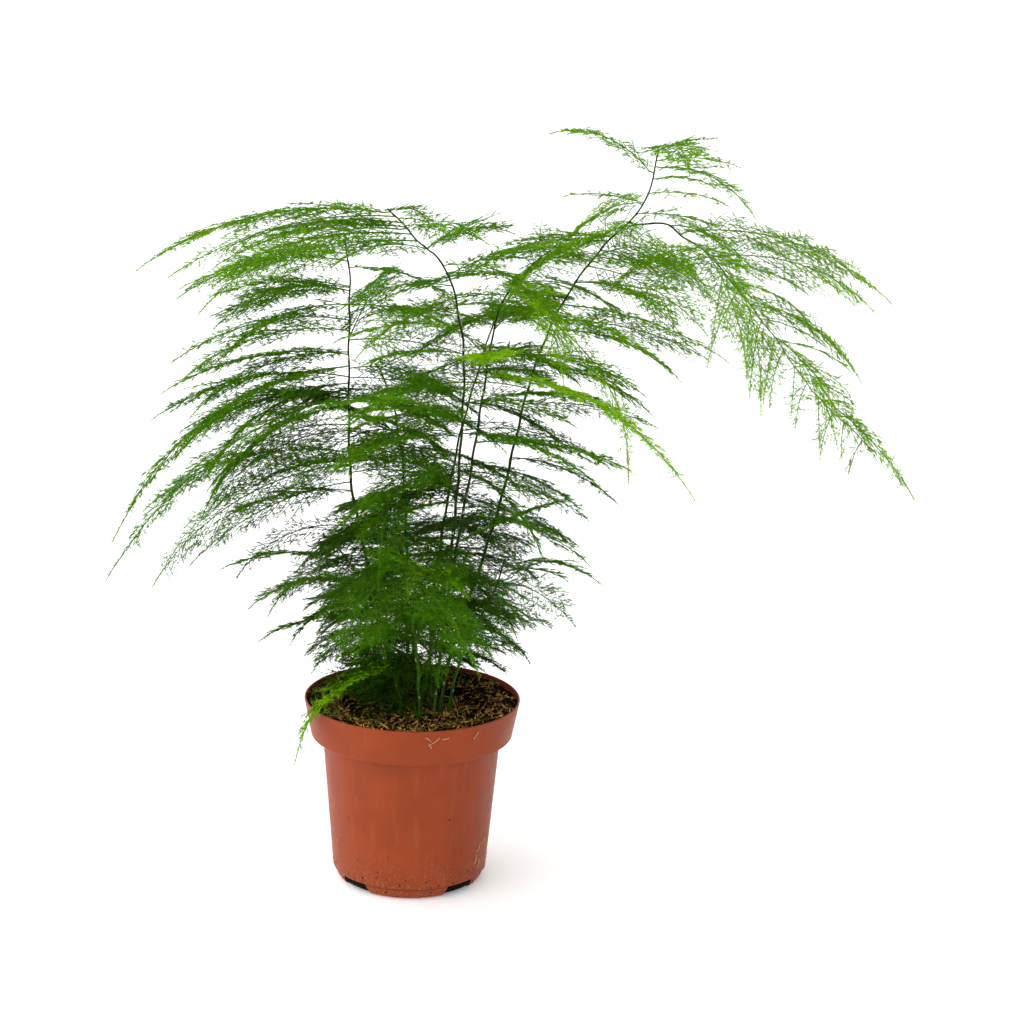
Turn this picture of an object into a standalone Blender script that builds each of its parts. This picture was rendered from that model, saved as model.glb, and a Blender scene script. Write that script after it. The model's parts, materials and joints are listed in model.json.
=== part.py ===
"""Asparagus fern (lace fern) growing in a round plastic nursery pot.

Metres, +Z up. +Y points away from the side that is looked at, +X to its right. The pot, the
potting soil, every stem and every frond is a solid of its own. The origin lies at ground level
under the middle of the whole plant's box.
"""

import math

import bmesh
import bpy
from mathutils import Vector
from mathutils.bvhtree import BVHTree

# Pot: a moulded shell with a stepped rim band, standing on four feet.
POT_HEIGHT = 0.105
RIM_RADIUS = 0.060
BAND_HEIGHT = 0.021
BAND_FOOT_RADIUS = 0.056
BODY_TOP_RADIUS = 0.0496
BODY_FOOT_RADIUS = 0.0432
BASE_RADIUS = 0.038
BASE_CORNER_HEIGHT = 0.009
FOOT_WIDTH = 0.006
FLOOR_LIFT = 0.0068
WALL = 0.0011
NOTCH_COUNT = 4
NOTCH_HEIGHT = 0.0060
NOTCH_HALF_WIDTH_TOP = 0.0070
NOTCH_HALF_WIDTH_FOOT = 0.0090
ROUND_SEGMENTS = 64

# Potting soil.
SOIL_DROP = 0.008
SOCKET_DEPTH = 0.012
SOCKET_SPARE = 0.00045
SOCKET_SEGMENTS = 16
COLLAR_HEIGHT = 0.003

# Plant: how high the tallest stem reaches above the soil, and how far the stems spread sideways.
PLANT_RISE = 0.312
PLANT_REACH = 0.312
STEM_RADIUS = 0.0012
STEM_TIP_SHARE = 0.5
STEM_BEVEL_STEPS = 2
ROUTE_STEPS = 2
LONGEST_FROND = 0.180
FROND_HALF_WIDTH = 0.021
FROND_THICKNESS = 0.0010
FROND_TURN = 12.0
STALK_WIDTH_SHARE = 0.05
WIDEST_SHIFT = 0.85
EDGE_CURVE = 1.1

# Gaps: between pieces that touch, and between fronds that only pass each other.
FIT_GAP = 0.0003
PASSING_GAP = 0.0008

# Each stem's route above the soil, as (sideways, away, up). Sideways and away are shares of
# PLANT_REACH from the pot's axis, and up is a share of PLANT_RISE.
STEM_ROUTES = {
    "tall": [(0.05, 0.01, 0.0), (0.07, 0.02, 0.12), (0.10, 0.04, 0.21), (0.15, 0.07, 0.38),
             (0.19, 0.09, 0.57), (0.24, 0.11, 0.71), (0.31, 0.11, 0.82), (0.375, 0.11, 0.89),
             (0.395, 0.11, 0.94), (0.405, 0.10, 1.0)],
    "bright": [(0.04, -0.04, 0.0), (0.05, -0.045, 0.13), (0.075, -0.045, 0.32), (0.095, -0.03, 0.45),
               (0.115, -0.01, 0.60), (0.13, 0.01, 0.70), (0.16, 0.03, 0.77), (0.23, 0.07, 0.83)],
    "arched": [(0.015, 0.0, 0.0), (0.04, 0.0, 0.17), (0.065, -0.015, 0.31), (0.08, -0.04, 0.60),
               (0.07, -0.05, 0.72), (0.045, -0.07, 0.81), (0.0, -0.10, 0.86), (-0.05, -0.14, 0.92)],
    "upright": [(-0.03, 0.02, 0.0), (-0.07, 0.03, 0.19), (-0.105, 0.045, 0.34), (-0.12, 0.05, 0.44),
                (-0.125, 0.065, 0.65), (-0.125, 0.07, 0.76), (-0.135, 0.075, 0.84)],
    "inner": [(-0.01, 0.035, 0.0), (-0.015, 0.05, 0.19), (-0.025, 0.07, 0.41), (-0.05, 0.085, 0.55),
              (-0.08, 0.095, 0.61)],
    "back": [(0.03, 0.045, 0.0), (0.03, 0.08, 0.18), (0.06, 0.13, 0.41), (0.085, 0.145, 0.53),
             (0.13, 0.17, 0.69)],
    "low_left": [(-0.02, -0.01, 0.0), (-0.045, -0.015, 0.12), (-0.085, -0.03, 0.23),
                 (-0.13, -0.05, 0.31)],
    "low_right": [(0.065, -0.015, 0.0), (0.09, -0.045, 0.13), (0.135, -0.07, 0.23),
                  (0.16, -0.085, 0.31)],
    "low_front": [(0.015, -0.045, 0.0), (0.01, -0.10, 0.14), (-0.005, -0.145, 0.26),
                  (-0.025, -0.17, 0.36)],
    "low_back": [(0.005, 0.07, 0.0), (-0.01, 0.13, 0.12), (-0.03, 0.19, 0.22), (-0.04, 0.215, 0.31)],
}

# The long limb that leaves the tall stem and droops to the right, as steps from where it starts.
LIMB_PARENT = "tall"
LIMB_PLACE = 0.875
LIMB_STEPS = [(0.0, 0.0, 0.0), (0.06, 0.01, 0.0), (0.09, 0.01, -0.02), (0.135, 0.005, -0.05),
              (0.195, 0.0, -0.115), (0.265, -0.005, -0.20), (0.33, -0.01, -0.285),
              (0.395, -0.015, -0.345), (0.45, -0.02, -0.395)]

# Fronds: stem, place along it, heading in degrees (0 right, 90 away), length as a share of
# LONGEST_FROND, rise at the base and droop towards the tip in degrees, width share.
FROND_ROWS = [
    ("bright", 0.71, -35, 0.82, 10, 50, 1.05),
    ("tall", 0.96, -155, 0.38, 50, 55, 0.85),
    ("tall", 0.97, 30, 0.36, 5, 55, 0.95),
    ("tall", 0.91, 130, 0.32, -5, 40, 0.80),
    ("tall", 0.99, -75, 0.42, 20, 40, 0.90),
    ("tall", 0.83, -135, 0.50, 10, 50, 1.00),
    ("tall", 0.80, 55, 0.52, 10, 40, 1.00),
    ("tall", 0.71, -15, 0.50, 0, 30, 0.60),
    ("limb", 0.15, 25, 0.75, 5, 45, 1.00),
    ("limb", 0.26, 15, 0.58, 5, 45, 0.95),
    ("limb", 0.43, 25, 0.45, -10, 45, 0.85),
    ("limb", 0.20, -75, 0.52, 0, 70, 0.95),
    ("limb", 0.34, -70, 0.48, -10, 70, 0.90),
    ("limb", 0.55, -60, 0.40, -10, 60, 0.80),
    ("limb", 0.78, 10, 0.40, -35, 20, 0.65),
    ("bright", 0.98, 30, 0.30, 20, 50, 0.90),
    ("bright", 0.93, -65, 0.50, 15, 60, 1.00),
    ("bright", 0.82, -30, 0.68, -15, 75, 0.65),
    ("bright", 0.73, -125, 0.42, 30, 35, 0.85),
    ("bright", 0.78, 60, 0.62, 20, 35, 1.00),
    ("arched", 0.99, -170, 0.73, 10, 45, 0.95),
    ("arched", 0.95, -145, 0.72, 10, 45, 0.95),
    ("arched", 0.89, 55, 0.35, 20, 35, 0.90),
    ("arched", 0.77, -140, 0.38, 5, 35, 0.85),
    ("arched", 0.79, 10, 0.38, 30, 35, 0.95),
    ("arched", 0.55, -30, 0.45, 10, 45, 1.00),
    ("arched", 0.57, -125, 0.62, 30, 35, 0.90),
    ("upright", 0.95, -170, 0.50, 10, 40, 0.90),
    ("upright", 0.89, 150, 0.45, 5, 40, 0.90),
    ("upright", 0.74, -155, 0.90, 0, 60, 1.00),
    ("upright", 0.70, -135, 0.96, 5, 55, 1.00),
    ("upright", 0.80, 75, 0.55, 30, 35, 0.90),
    ("inner", 0.80, 140, 0.68, 20, 40, 0.95),
    ("back", 0.97, 60, 0.58, 20, 40, 0.95),
    ("upright", 0.51, -160, 0.52, -5, 40, 0.80),
    ("inner", 0.60, -100, 0.62, 15, 50, 1.20),
    ("low_left", 0.95, -155, 0.36, 20, 40, 1.00),
    ("low_left", 0.79, -135, 0.46, 25, 40, 1.00),
    ("low_left", 0.58, 175, 0.36, 10, 45, 1.00),
    ("arched", 0.31, 25, 0.36, 30, 20, 0.80),
    ("low_right", 0.96, 30, 0.31, 10, 45, 0.90),
    ("low_right", 0.87, -55, 0.33, 20, 50, 1.00),
    ("low_front", 0.96, -105, 0.46, 20, 50, 1.20),
    ("low_front", 0.85, -70, 0.52, 20, 50, 1.20),
    ("low_back", 0.95, 115, 0.58, 10, 40, 1.20),
    ("low_back", 0.86, 60, 0.56, 10, 40, 1.20),
    ("low_left", 0.32, -140, 0.44, 15, 95, 0.55),
]


def clear_scene():
    for old in list(bpy.data.objects):
        bpy.data.objects.remove(old, do_unlink=True)


def new_collection(name):
    collection = bpy.data.collections.new(name)
    bpy.context.scene.collection.children.link(collection)
    return collection


def material(name, colour, roughness, metallic=0.0):
    made = bpy.data.materials.new(name)
    made.use_nodes = True
    shader = made.node_tree.nodes["Principled BSDF"]
    shader.inputs["Base Color"].default_value = (*colour, 1.0)
    shader.inputs["Roughness"].default_value = roughness
    shader.inputs["Metallic"].default_value = metallic
    made.diffuse_color = (*colour, 1.0)
    return made


def add_object(name, data, collection, made_of=None):
    added = bpy.data.objects.new(name, data)
    collection.objects.link(added)
    if made_of:
        data.materials.append(made_of)
    return added


def evaluated_mesh(source):
    graph = bpy.context.evaluated_depsgraph_get()
    return bpy.data.meshes.new_from_object(source.evaluated_get(graph))


def turned_solid(name, profile, collection, made_of):
    """Solid of revolution from (radius, height) points that run down the outer side."""
    mesh = bpy.data.meshes.new(name)
    points = [(radius, 0.0, height) for radius, height in profile]
    edges = [(index, index + 1) for index in range(len(points) - 1)]
    mesh.from_pydata(points, edges, [])
    turned = add_object(name, mesh, collection, made_of)
    screw = turned.modifiers.new("turn", "SCREW")
    screw.steps = ROUND_SEGMENTS
    screw.render_steps = ROUND_SEGMENTS
    screw.use_merge_vertices = True
    screw.merge_threshold = 1e-5
    return turned


def cut(target, cutter):
    cutter.hide_render = True
    cutter.display_type = "WIRE"
    boolean = target.modifiers.new("cut " + cutter.name, "BOOLEAN")
    boolean.operation = "DIFFERENCE"
    boolean.solver = "EXACT"
    boolean.object = cutter


def arc(centre, radii, start, end, steps):
    """Points on an ellipse from one angle to another, both in degrees."""
    points = []
    for step in range(steps + 1):
        angle = math.radians(start + (end - start) * step / steps)
        points.append((centre[0] + radii[0] * math.cos(angle), centre[1] + radii[1] * math.sin(angle)))
    return points


# Pot and soil ---------------------------------------------------------------------------------

BAND_FOOT_HEIGHT = POT_HEIGHT - BAND_HEIGHT
SOIL_TOP = POT_HEIGHT - SOIL_DROP
RISER_RADIUS = BASE_RADIUS - FOOT_WIDTH


def inner_profile(gap):
    """The pot's inner surface from the floor's centre up to the band, moved inwards by a gap."""
    inset = WALL + gap
    riser = RISER_RADIUS + inset
    ledge = BAND_FOOT_HEIGHT + inset
    corner = arc((BASE_RADIUS, BASE_CORNER_HEIGHT),
                 (BODY_FOOT_RADIUS - BASE_RADIUS - inset, BASE_CORNER_HEIGHT - inset), -90, 0, 5)
    return ([(0.0, FLOOR_LIFT + inset), (riser, FLOOR_LIFT + inset), (riser, inset)] + corner
            + [(BODY_TOP_RADIUS - inset, ledge), (BAND_FOOT_RADIUS - inset, ledge)])


def pot_profile():
    lip = arc((RIM_RADIUS - WALL / 2, POT_HEIGHT - WALL / 2), (WALL / 2, WALL / 2), 180, 0, 4)
    corner = arc((BASE_RADIUS, BASE_CORNER_HEIGHT),
                 (BODY_FOOT_RADIUS - BASE_RADIUS, BASE_CORNER_HEIGHT), 0, -90, 5)
    outer = [(BAND_FOOT_RADIUS, BAND_FOOT_HEIGHT), (BODY_TOP_RADIUS, BAND_FOOT_HEIGHT)]
    underside = [(RISER_RADIUS, 0.0), (RISER_RADIUS, FLOOR_LIFT), (0.0, FLOOR_LIFT)]
    return inner_profile(0.0) + lip + outer + corner + underside


def soil_profile():
    inside = inner_profile(FIT_GAP)
    band_foot = inside[-1]
    rise_share = (SOIL_TOP - band_foot[1]) / (POT_HEIGHT - band_foot[1])
    rim = RIM_RADIUS - WALL - FIT_GAP
    edge = band_foot[0] + (rim - band_foot[0]) * rise_share
    return [(0.0, SOIL_TOP), (edge, SOIL_TOP)] + inside[::-1]


def notch_cutter(name, turn, spare, collection):
    """A wedge across the foot ring, wider at the ground, as far as the floor's underside."""
    inner = RISER_RADIUS - FOOT_WIDTH / 2
    outer = BODY_FOOT_RADIUS + FOOT_WIDTH
    depth = FOOT_WIDTH
    slope = (NOTCH_HALF_WIDTH_FOOT - NOTCH_HALF_WIDTH_TOP) / NOTCH_HEIGHT
    top = NOTCH_HALF_WIDTH_TOP + spare
    foot = top + slope * (NOTCH_HEIGHT + depth)
    shape = bmesh.new()
    bmesh.ops.create_cube(shape, size=2.0)
    for corner in shape.verts:
        side = math.copysign(foot if corner.co.z < 0 else top, corner.co.y)
        reach = outer if corner.co.x > 0 else inner
        height = -depth if corner.co.z < 0 else NOTCH_HEIGHT + spare
        corner.co = (reach, side, height)
    mesh = bpy.data.meshes.new(name)
    shape.to_mesh(mesh)
    shape.free()
    cutter = add_object(name, mesh, collection)
    cutter.rotation_euler.z = math.radians(turn)
    return cutter


def add_pot(parts, cutters):
    terracotta = material("terracotta_plastic", (0.36, 0.085, 0.030), 0.5)
    pot = turned_solid("pot", pot_profile(), parts, terracotta)
    for index in range(NOTCH_COUNT):
        turn = 360.0 * (index + 0.5) / NOTCH_COUNT
        cut(pot, notch_cutter(f"pot_notch_{index + 1}", turn, 0.0, cutters))
    return pot


def add_soil(parts, cutters):
    peat = material("potting_soil", (0.035, 0.016, 0.008), 0.95)
    soil = turned_solid("potting_soil", soil_profile(), parts, peat)
    for index in range(NOTCH_COUNT):
        turn = 360.0 * (index + 0.5) / NOTCH_COUNT
        cut(soil, notch_cutter(f"soil_notch_{index + 1}", turn, FIT_GAP, cutters))
    return soil


def socket_cutter(name, foot, collection):
    """The hole that a stem stands in, a little wider and deeper than the stem."""
    depth = SOCKET_DEPTH + FIT_GAP
    shape = bmesh.new()
    radius = STEM_RADIUS + SOCKET_SPARE
    bmesh.ops.create_cone(shape, cap_ends=True, segments=SOCKET_SEGMENTS, radius1=radius,
                          radius2=radius, depth=2 * depth)
    mesh = bpy.data.meshes.new(name)
    shape.to_mesh(mesh)
    shape.free()
    cutter = add_object(name, mesh, collection)
    cutter.location = (foot.x, foot.y, SOIL_TOP)
    return cutter


# Stems ----------------------------------------------------------------------------------------

def smooth_route(points, steps):
    """A Catmull-Rom curve through the points."""
    padded = [2 * points[0] - points[1]] + points + [2 * points[-1] - points[-2]]
    route = []
    for index in range(len(points) - 1):
        before, start, end, after = padded[index:index + 4]
        for step in range(steps):
            t = step / steps
            route.append(0.5 * (2 * start + (end - before) * t
                                + (2 * before - 5 * start + 4 * end - after) * t ** 2
                                + (3 * start - before - 3 * end + after) * t ** 3))
    return route + [points[-1].copy()]


def planted_route(shares):
    """A stem's route: straight up through the soil, then through its own points."""
    grown = [Vector((x * PLANT_REACH, y * PLANT_REACH, SOIL_TOP + z * PLANT_RISE)) for x, y, z in shares]
    foot = grown[0]
    collar = foot + Vector((0.0, 0.0, COLLAR_HEIGHT))
    buried = foot - Vector((0.0, 0.0, SOCKET_DEPTH))
    return [buried] + smooth_route([collar] + grown[1:], ROUTE_STEPS)


def limb_route(parent, parent_tree):
    start, along = place_on(parent, LIMB_PLACE)
    steps = [Vector((x * PLANT_REACH, y * PLANT_REACH, z * PLANT_RISE)) for x, y, z in LIMB_STEPS]
    outwards = away_from(along, steps[1])
    clear = STEM_RADIUS + FIT_GAP
    offset = clear
    while parent_tree.find_nearest(start + outwards * offset)[3] < clear:
        offset += FIT_GAP
    return smooth_route([start + outwards * offset + step for step in steps], ROUTE_STEPS)


def place_on(route, share):
    """The point and direction at a share of a route's length."""
    spans = [(b - a).length for a, b in zip(route, route[1:])]
    left = share * sum(spans)
    for index, span in enumerate(spans):
        if left <= span or index == len(spans) - 1:
            step = route[index + 1] - route[index]
            return route[index] + step * min(left / span, 1.0), step.normalized()
        left -= span


def away_from(along, wanted):
    """The part of a direction that points straight out of a stem."""
    out = wanted - along * wanted.dot(along)
    return out.normalized()


def add_stem(name, route, made_of, collection):
    curve = bpy.data.curves.new(name, "CURVE")
    curve.dimensions = "3D"
    curve.twist_mode = "MINIMUM"
    curve.bevel_depth = STEM_RADIUS
    curve.bevel_resolution = STEM_BEVEL_STEPS
    curve.use_fill_caps = True
    spline = curve.splines.new("POLY")
    spline.points.add(len(route) - 1)
    for index, (point, place) in enumerate(zip(spline.points, route)):
        point.co = (*place, 1.0)
        point.radius = 1.0 - (1.0 - STEM_TIP_SHARE) * index / (len(route) - 1)
    return add_object(name, curve, collection, made_of)


# Fronds ---------------------------------------------------------------------------------------

FROND_STATIONS = (0.0, 0.08, 0.18, 0.30, 0.42, 0.56, 0.70, 0.84, 1.0)
STEPS_PER_STATION = 6

# How far a frond may be tilted and swung, in degrees, and slid, in hundredths of its stem, to keep
# it clear of the pieces placed before it.
TILTS = range(-40, 41, 4)
SWINGS = range(-40, 41, 8)
SLIDES = range(-4, 5, 2)


def width_share(place):
    """A frond's outline: a narrow stalk, widest at two fifths, and a slim tip."""
    swell = max(math.sin(math.pi * place ** WIDEST_SHIFT), 0.0) ** EDGE_CURVE
    return STALK_WIDTH_SHARE + (1.0 - STALK_WIDTH_SHARE) * swell


def frond_path(start, heading, length, rise, droop, turn):
    """Points along a frond that leaves rising and bends over by the droop angle."""
    points = [start.copy()]
    for place, following in zip(FROND_STATIONS, FROND_STATIONS[1:]):
        here = points[-1].copy()
        for step in range(STEPS_PER_STATION):
            share = place + (following - place) * (step + 0.5) / STEPS_PER_STATION
            pitch = math.radians(rise - droop * share)
            yaw = math.radians(heading + turn * share)
            ahead = Vector((math.cos(pitch) * math.cos(yaw), math.cos(pitch) * math.sin(yaw),
                            math.sin(pitch)))
            here += ahead * (length * (following - place) / STEPS_PER_STATION)
        points.append(here)
    return points


def strip_tree(points, half_width, margin, first=0):
    """A search tree of a frond's strip, grown by a margin all round, from one of its stations."""
    corners = []
    for index in range(first, len(points)):
        ahead = points[min(index + 1, len(points) - 1)] - points[max(index - 1, 0)]
        side = Vector((-ahead.y, ahead.x, 0.0)).normalized()
        up = ahead.cross(side).normalized()
        across = side * (half_width * width_share(FROND_STATIONS[index]) + margin)
        thick = up * (FROND_THICKNESS / 2 + margin)
        centre = points[index]
        corners += [centre + across + thick, centre - across + thick,
                    centre - across - thick, centre + across - thick]
    faces = [(0, 1, 2, 3), tuple(range(len(corners) - 4, len(corners)))]
    for ring in range(0, len(corners) - 4, 4):
        for edge in range(4):
            after = (edge + 1) % 4
            faces.append((ring + edge, ring + after, ring + 4 + after, ring + 4 + edge))
    return BVHTree.FromPolygons(corners, faces, all_triangles=False)


def object_tree(thing):
    mesh = evaluated_mesh(thing)
    tree = BVHTree.FromPolygons([v.co.copy() for v in mesh.vertices],
                                [tuple(p.vertices) for p in mesh.polygons], all_triangles=False)
    bpy.data.meshes.remove(mesh)
    return tree


def seated_start(route, tree, place, heading):
    """Where a frond starts: as close to its stem as the fitting gap and its own stalk allow."""
    centre, along = place_on(route, place)
    level = Vector((math.cos(math.radians(heading)), math.sin(math.radians(heading)), 0.0))
    outwards = away_from(along, level)
    stalk = FROND_THICKNESS / 2 + FIT_GAP
    offset = 0.0
    while offset < STEM_RADIUS or tree.find_nearest(centre + outwards * offset)[3] < stalk:
        offset += FIT_GAP / 3
    return centre + outwards * offset


def adjustments():
    """Changes of rise, heading and place on the stem to try, the smallest first."""
    tries = [(tilt, swing, slide) for tilt in TILTS for swing in SWINGS for slide in SLIDES]
    return sorted(tries, key=lambda change: (sum(map(abs, change)), change))


def clear_path(row, route, own_tree, other_trees, turn):
    """The frond's path, swung and tilted by as little as keeps it clear of everything placed."""
    _, place, heading, length, rise, droop, width = row
    half_width = FROND_HALF_WIDTH * width
    for tilt, swing, slide in adjustments():
        start = seated_start(route, own_tree, min(place + slide / 100, 1.0), heading + swing)
        path = frond_path(start, heading + swing, length * LONGEST_FROND, rise + tilt, droop, turn)
        near = strip_tree(path, half_width, PASSING_GAP)
        if any(near.overlap(tree) for tree in other_trees):
            continue
        if strip_tree(path, half_width, 0.0).overlap(own_tree):
            continue
        if strip_tree(path, half_width, PASSING_GAP, 2).overlap(own_tree):
            continue
        return path
    raise RuntimeError(f"no clear way for a frond on {row[0]} at {place}")


def add_frond(name, path, half_width, made_of, collection):
    """A thin feather-shaped blade: a ribbon curve that narrows to its ends, made solid."""
    curve = bpy.data.curves.new(name, "CURVE")
    curve.dimensions = "3D"
    curve.twist_mode = "Z_UP"
    curve.extrude = half_width
    spline = curve.splines.new("POLY")
    spline.points.add(len(path) - 1)
    for point, place, share in zip(spline.points, path, FROND_STATIONS):
        point.co = (*place, 1.0)
        point.radius = width_share(share)
        point.tilt = math.pi / 2
    frond = add_object(name, curve, collection, made_of)
    thicken = frond.modifiers.new("thicken", "SOLIDIFY")
    thicken.thickness = FROND_THICKNESS
    thicken.offset = 0.0
    return frond


# The whole plant ------------------------------------------------------------------------------

def add_stems(parts, cutters, soil):
    green = material("green_stem", (0.10, 0.20, 0.035), 0.55)
    routes = {}
    trees = {}
    for name, shares in STEM_ROUTES.items():
        routes[name] = planted_route(shares)
        stem = add_stem("stem_" + name, routes[name], green, parts)
        trees[name] = object_tree(stem)
        cut(soil, socket_cutter("socket_" + name, routes[name][0], cutters))
    routes["limb"] = limb_route(routes[LIMB_PARENT], trees[LIMB_PARENT])
    trees["limb"] = object_tree(add_stem("stem_limb", routes["limb"], green, parts))
    return routes, trees


def add_fronds(parts, routes, stem_trees, solids):
    leaf = material("fern_foliage", (0.09, 0.25, 0.015), 0.6)
    placed = [object_tree(solid) for solid in solids]
    counts = dict.fromkeys(routes, 0)
    for number, row in enumerate(FROND_ROWS):
        stem = row[0]
        counts[stem] += 1
        others = placed + [tree for name, tree in stem_trees.items() if name != stem]
        turn = FROND_TURN if number % 2 else -FROND_TURN
        path = clear_path(row, routes[stem], stem_trees[stem], others, turn)
        frond = add_frond(f"frond_{stem}_{counts[stem]}", path, FROND_HALF_WIDTH * row[6], leaf, parts)
        placed.append(object_tree(frond))


def centre_on_origin(parts):
    """Hangs every part on an empty that brings the middle of the whole box over the origin."""
    low = Vector((math.inf, math.inf))
    high = Vector((-math.inf, -math.inf))
    for part in parts.objects:
        mesh = evaluated_mesh(part)
        for vertex in mesh.vertices:
            low = Vector(map(min, low, vertex.co.xy))
            high = Vector(map(max, high, vertex.co.xy))
        bpy.data.meshes.remove(mesh)
    middle = (low + high) / 2
    root = bpy.data.objects.new("fern_root", None)
    root.location = (-middle.x, -middle.y, 0.0)
    bpy.context.scene.collection.objects.link(root)
    return root


def build():
    clear_scene()
    parts = new_collection("potted_asparagus_fern")
    cutters = new_collection("cutters")
    pot = add_pot(parts, cutters)
    soil = add_soil(parts, cutters)
    routes, stem_trees = add_stems(parts, cutters, soil)
    add_fronds(parts, routes, stem_trees, [pot, soil])
    root = centre_on_origin(parts)
    for collection in (parts, cutters):
        for thing in collection.objects:
            thing.parent = root


build()
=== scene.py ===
"""Looks of a potted asparagus fern, grown on the frame of its CAD model.

The pot, the soil bed, the stems and the sprays of needles are each built over the CAD node that
they stand for. Lengths are metres, +Z is up and the camera looks along +Y.
"""

import json
import math
import random

import bmesh
import bpy
from bpy.props import FloatProperty, FloatVectorProperty, IntProperty, PointerProperty
from mathutils import Matrix, Vector, noise
from mathutils.kdtree import KDTree

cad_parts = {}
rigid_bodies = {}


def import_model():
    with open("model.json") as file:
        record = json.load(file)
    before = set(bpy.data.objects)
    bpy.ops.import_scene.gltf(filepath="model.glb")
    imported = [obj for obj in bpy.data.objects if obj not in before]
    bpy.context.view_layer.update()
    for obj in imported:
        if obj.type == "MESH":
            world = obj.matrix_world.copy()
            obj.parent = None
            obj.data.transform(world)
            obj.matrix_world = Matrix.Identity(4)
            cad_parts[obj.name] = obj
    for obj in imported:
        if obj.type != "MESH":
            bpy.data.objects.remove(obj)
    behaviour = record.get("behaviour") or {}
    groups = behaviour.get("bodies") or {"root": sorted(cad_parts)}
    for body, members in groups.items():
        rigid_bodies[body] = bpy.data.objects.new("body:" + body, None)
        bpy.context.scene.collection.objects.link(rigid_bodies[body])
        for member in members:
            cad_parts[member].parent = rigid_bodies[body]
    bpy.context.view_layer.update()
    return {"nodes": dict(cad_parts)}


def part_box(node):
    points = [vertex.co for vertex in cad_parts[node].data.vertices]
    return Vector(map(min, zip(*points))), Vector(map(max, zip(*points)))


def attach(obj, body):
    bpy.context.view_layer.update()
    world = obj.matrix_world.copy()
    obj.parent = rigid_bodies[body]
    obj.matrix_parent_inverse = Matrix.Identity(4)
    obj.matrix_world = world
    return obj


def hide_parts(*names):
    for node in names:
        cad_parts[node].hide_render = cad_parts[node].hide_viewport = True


bl_info = {
    "name": "Potted asparagus fern",
    "version": (1, 0, 0),
    "blender": (4, 5, 0),
    "location": "3D View > Sidebar > Fern",
    "description": "Builds the pot, soil, stems and needle sprays of a potted asparagus fern",
    "category": "Object",
}

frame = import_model()
CAD_NODES = frame["nodes"]
BODY = "root"

POT_LOW, POT_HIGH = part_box("pot")
POT_AXIS = Vector(((POT_LOW.x + POT_HIGH.x) / 2, (POT_LOW.y + POT_HIGH.y) / 2, 0.0))
POT_HEIGHT = POT_HIGH.z
RIM_RADIUS = (POT_HIGH.x - POT_LOW.x) / 2
SOIL_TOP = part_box("potting_soil")[1].z

STEM_NAMES = sorted(name[5:] for name in CAD_NODES if name.startswith("stem_"))
WELD_DISTANCE = 2e-5
STRIP = "OFBake"


# Settings -------------------------------------------------------------------------------------

def linear(code):
    """Scene-linear red, green and blue of an sRGB hex colour."""
    channels = [int(code[place:place + 2], 16) / 255 for place in (1, 3, 5)]
    return tuple(c / 12.92 if c <= 0.04045 else ((c + 0.055) / 1.055) ** 2.4 for c in channels)


def size(name, default, description):
    return FloatProperty(name=name, default=default, description=description, min=0.0,
                         unit="LENGTH", subtype="DISTANCE", precision=5)


def colour(name, code, description):
    return FloatVectorProperty(name=name, default=linear(code), description=description, size=3,
                               min=0.0, max=1.0, subtype="COLOR")


def share(name, default, description):
    return FloatProperty(name=name, default=default, description=description, min=0.0, max=10.0,
                         subtype="FACTOR")


class FernPotSettings(bpy.types.PropertyGroup):
    band_height: size("Band height", 0.021, "Height of the wide band under the rim")
    band_foot_radius: size("Band foot radius", 0.056, "Radius of the band's lower edge")
    body_top_radius: size("Body top radius", 0.0496, "Radius of the body just under the band")
    body_foot_radius: size("Body foot radius", 0.0432, "Radius of the body above its round corner")
    base_radius: size("Base radius", 0.038, "Outer radius of the feet on the ground")
    corner_height: size("Corner height", 0.009, "Height of the round corner at the foot")
    foot_width: size("Foot width", 0.006, "Width of the foot ring")
    floor_lift: size("Floor lift", 0.0068, "Height of the pot's floor above the ground")
    wall: size("Wall", 0.0011, "Thickness of the moulded wall")
    notch_height: size("Notch height", 0.0066, "Height of the gaps between the feet")
    notch_top: size("Notch top", 0.0175, "Width of a gap at its top")
    notch_foot: size("Notch foot", 0.021, "Width of a gap at the ground")
    ledge_height: size("Ledge height", 0.0069, "Height of the fine ledge above the feet")
    ledge_depth: size("Ledge depth", 0.0009, "How far the feet are set back under the ledge")
    clay: colour("Terracotta", "#8e380f", "Colour of the moulded plastic")
    dust: colour("Dust", "#8f5d40", "Colour of the dry film on the plastic")
    # Painted shade: a dark band under the fine ledge that stands in for the ledge's shadow.
    ledge_shade: colour("Ledge shade", "#2c1206", "Colour of the painted shade under the fine ledge")
    straw: colour("Straw", "#c4a478", "Colour of the dry fibres stuck to the pot")


class FernSoilSettings(bpy.types.PropertyGroup):
    edge_rise: size("Edge rise", 0.0052, "How far the soil climbs at the pot's wall")
    hollow_depth: size("Hollow depth", 0.0050, "Depth of the hollow on the left")
    roughness: size("Roughness", 0.0021, "Height of the lumps in the soil")
    fibre_length: size("Fibre length", 0.0042, "Length of a coir fibre")
    fibre_count: IntProperty(name="Fibres", default=2800, min=0, description="Coir fibres in all")
    crumb_count: IntProperty(name="Crumbs", default=2300, min=0, description="Bark crumbs in all")
    grain_count: IntProperty(name="Grains", default=34, min=0, description="White grains in all")
    moss_count: IntProperty(name="Moss tufts", default=1500, min=0, description="Moss tufts in all")
    peat: colour("Peat", "#0a0502", "Colour of the damp peat")
    fibre: colour("Coir", "#ab8740", "Colour of the coir fibres")
    bark: colour("Bark", "#2a190b", "Colour of the bark crumbs")
    grain: colour("Grain", "#dcd5c6", "Colour of the white grains")
    moss: colour("Moss", "#6c8f1f", "Colour of the moss")


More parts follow.
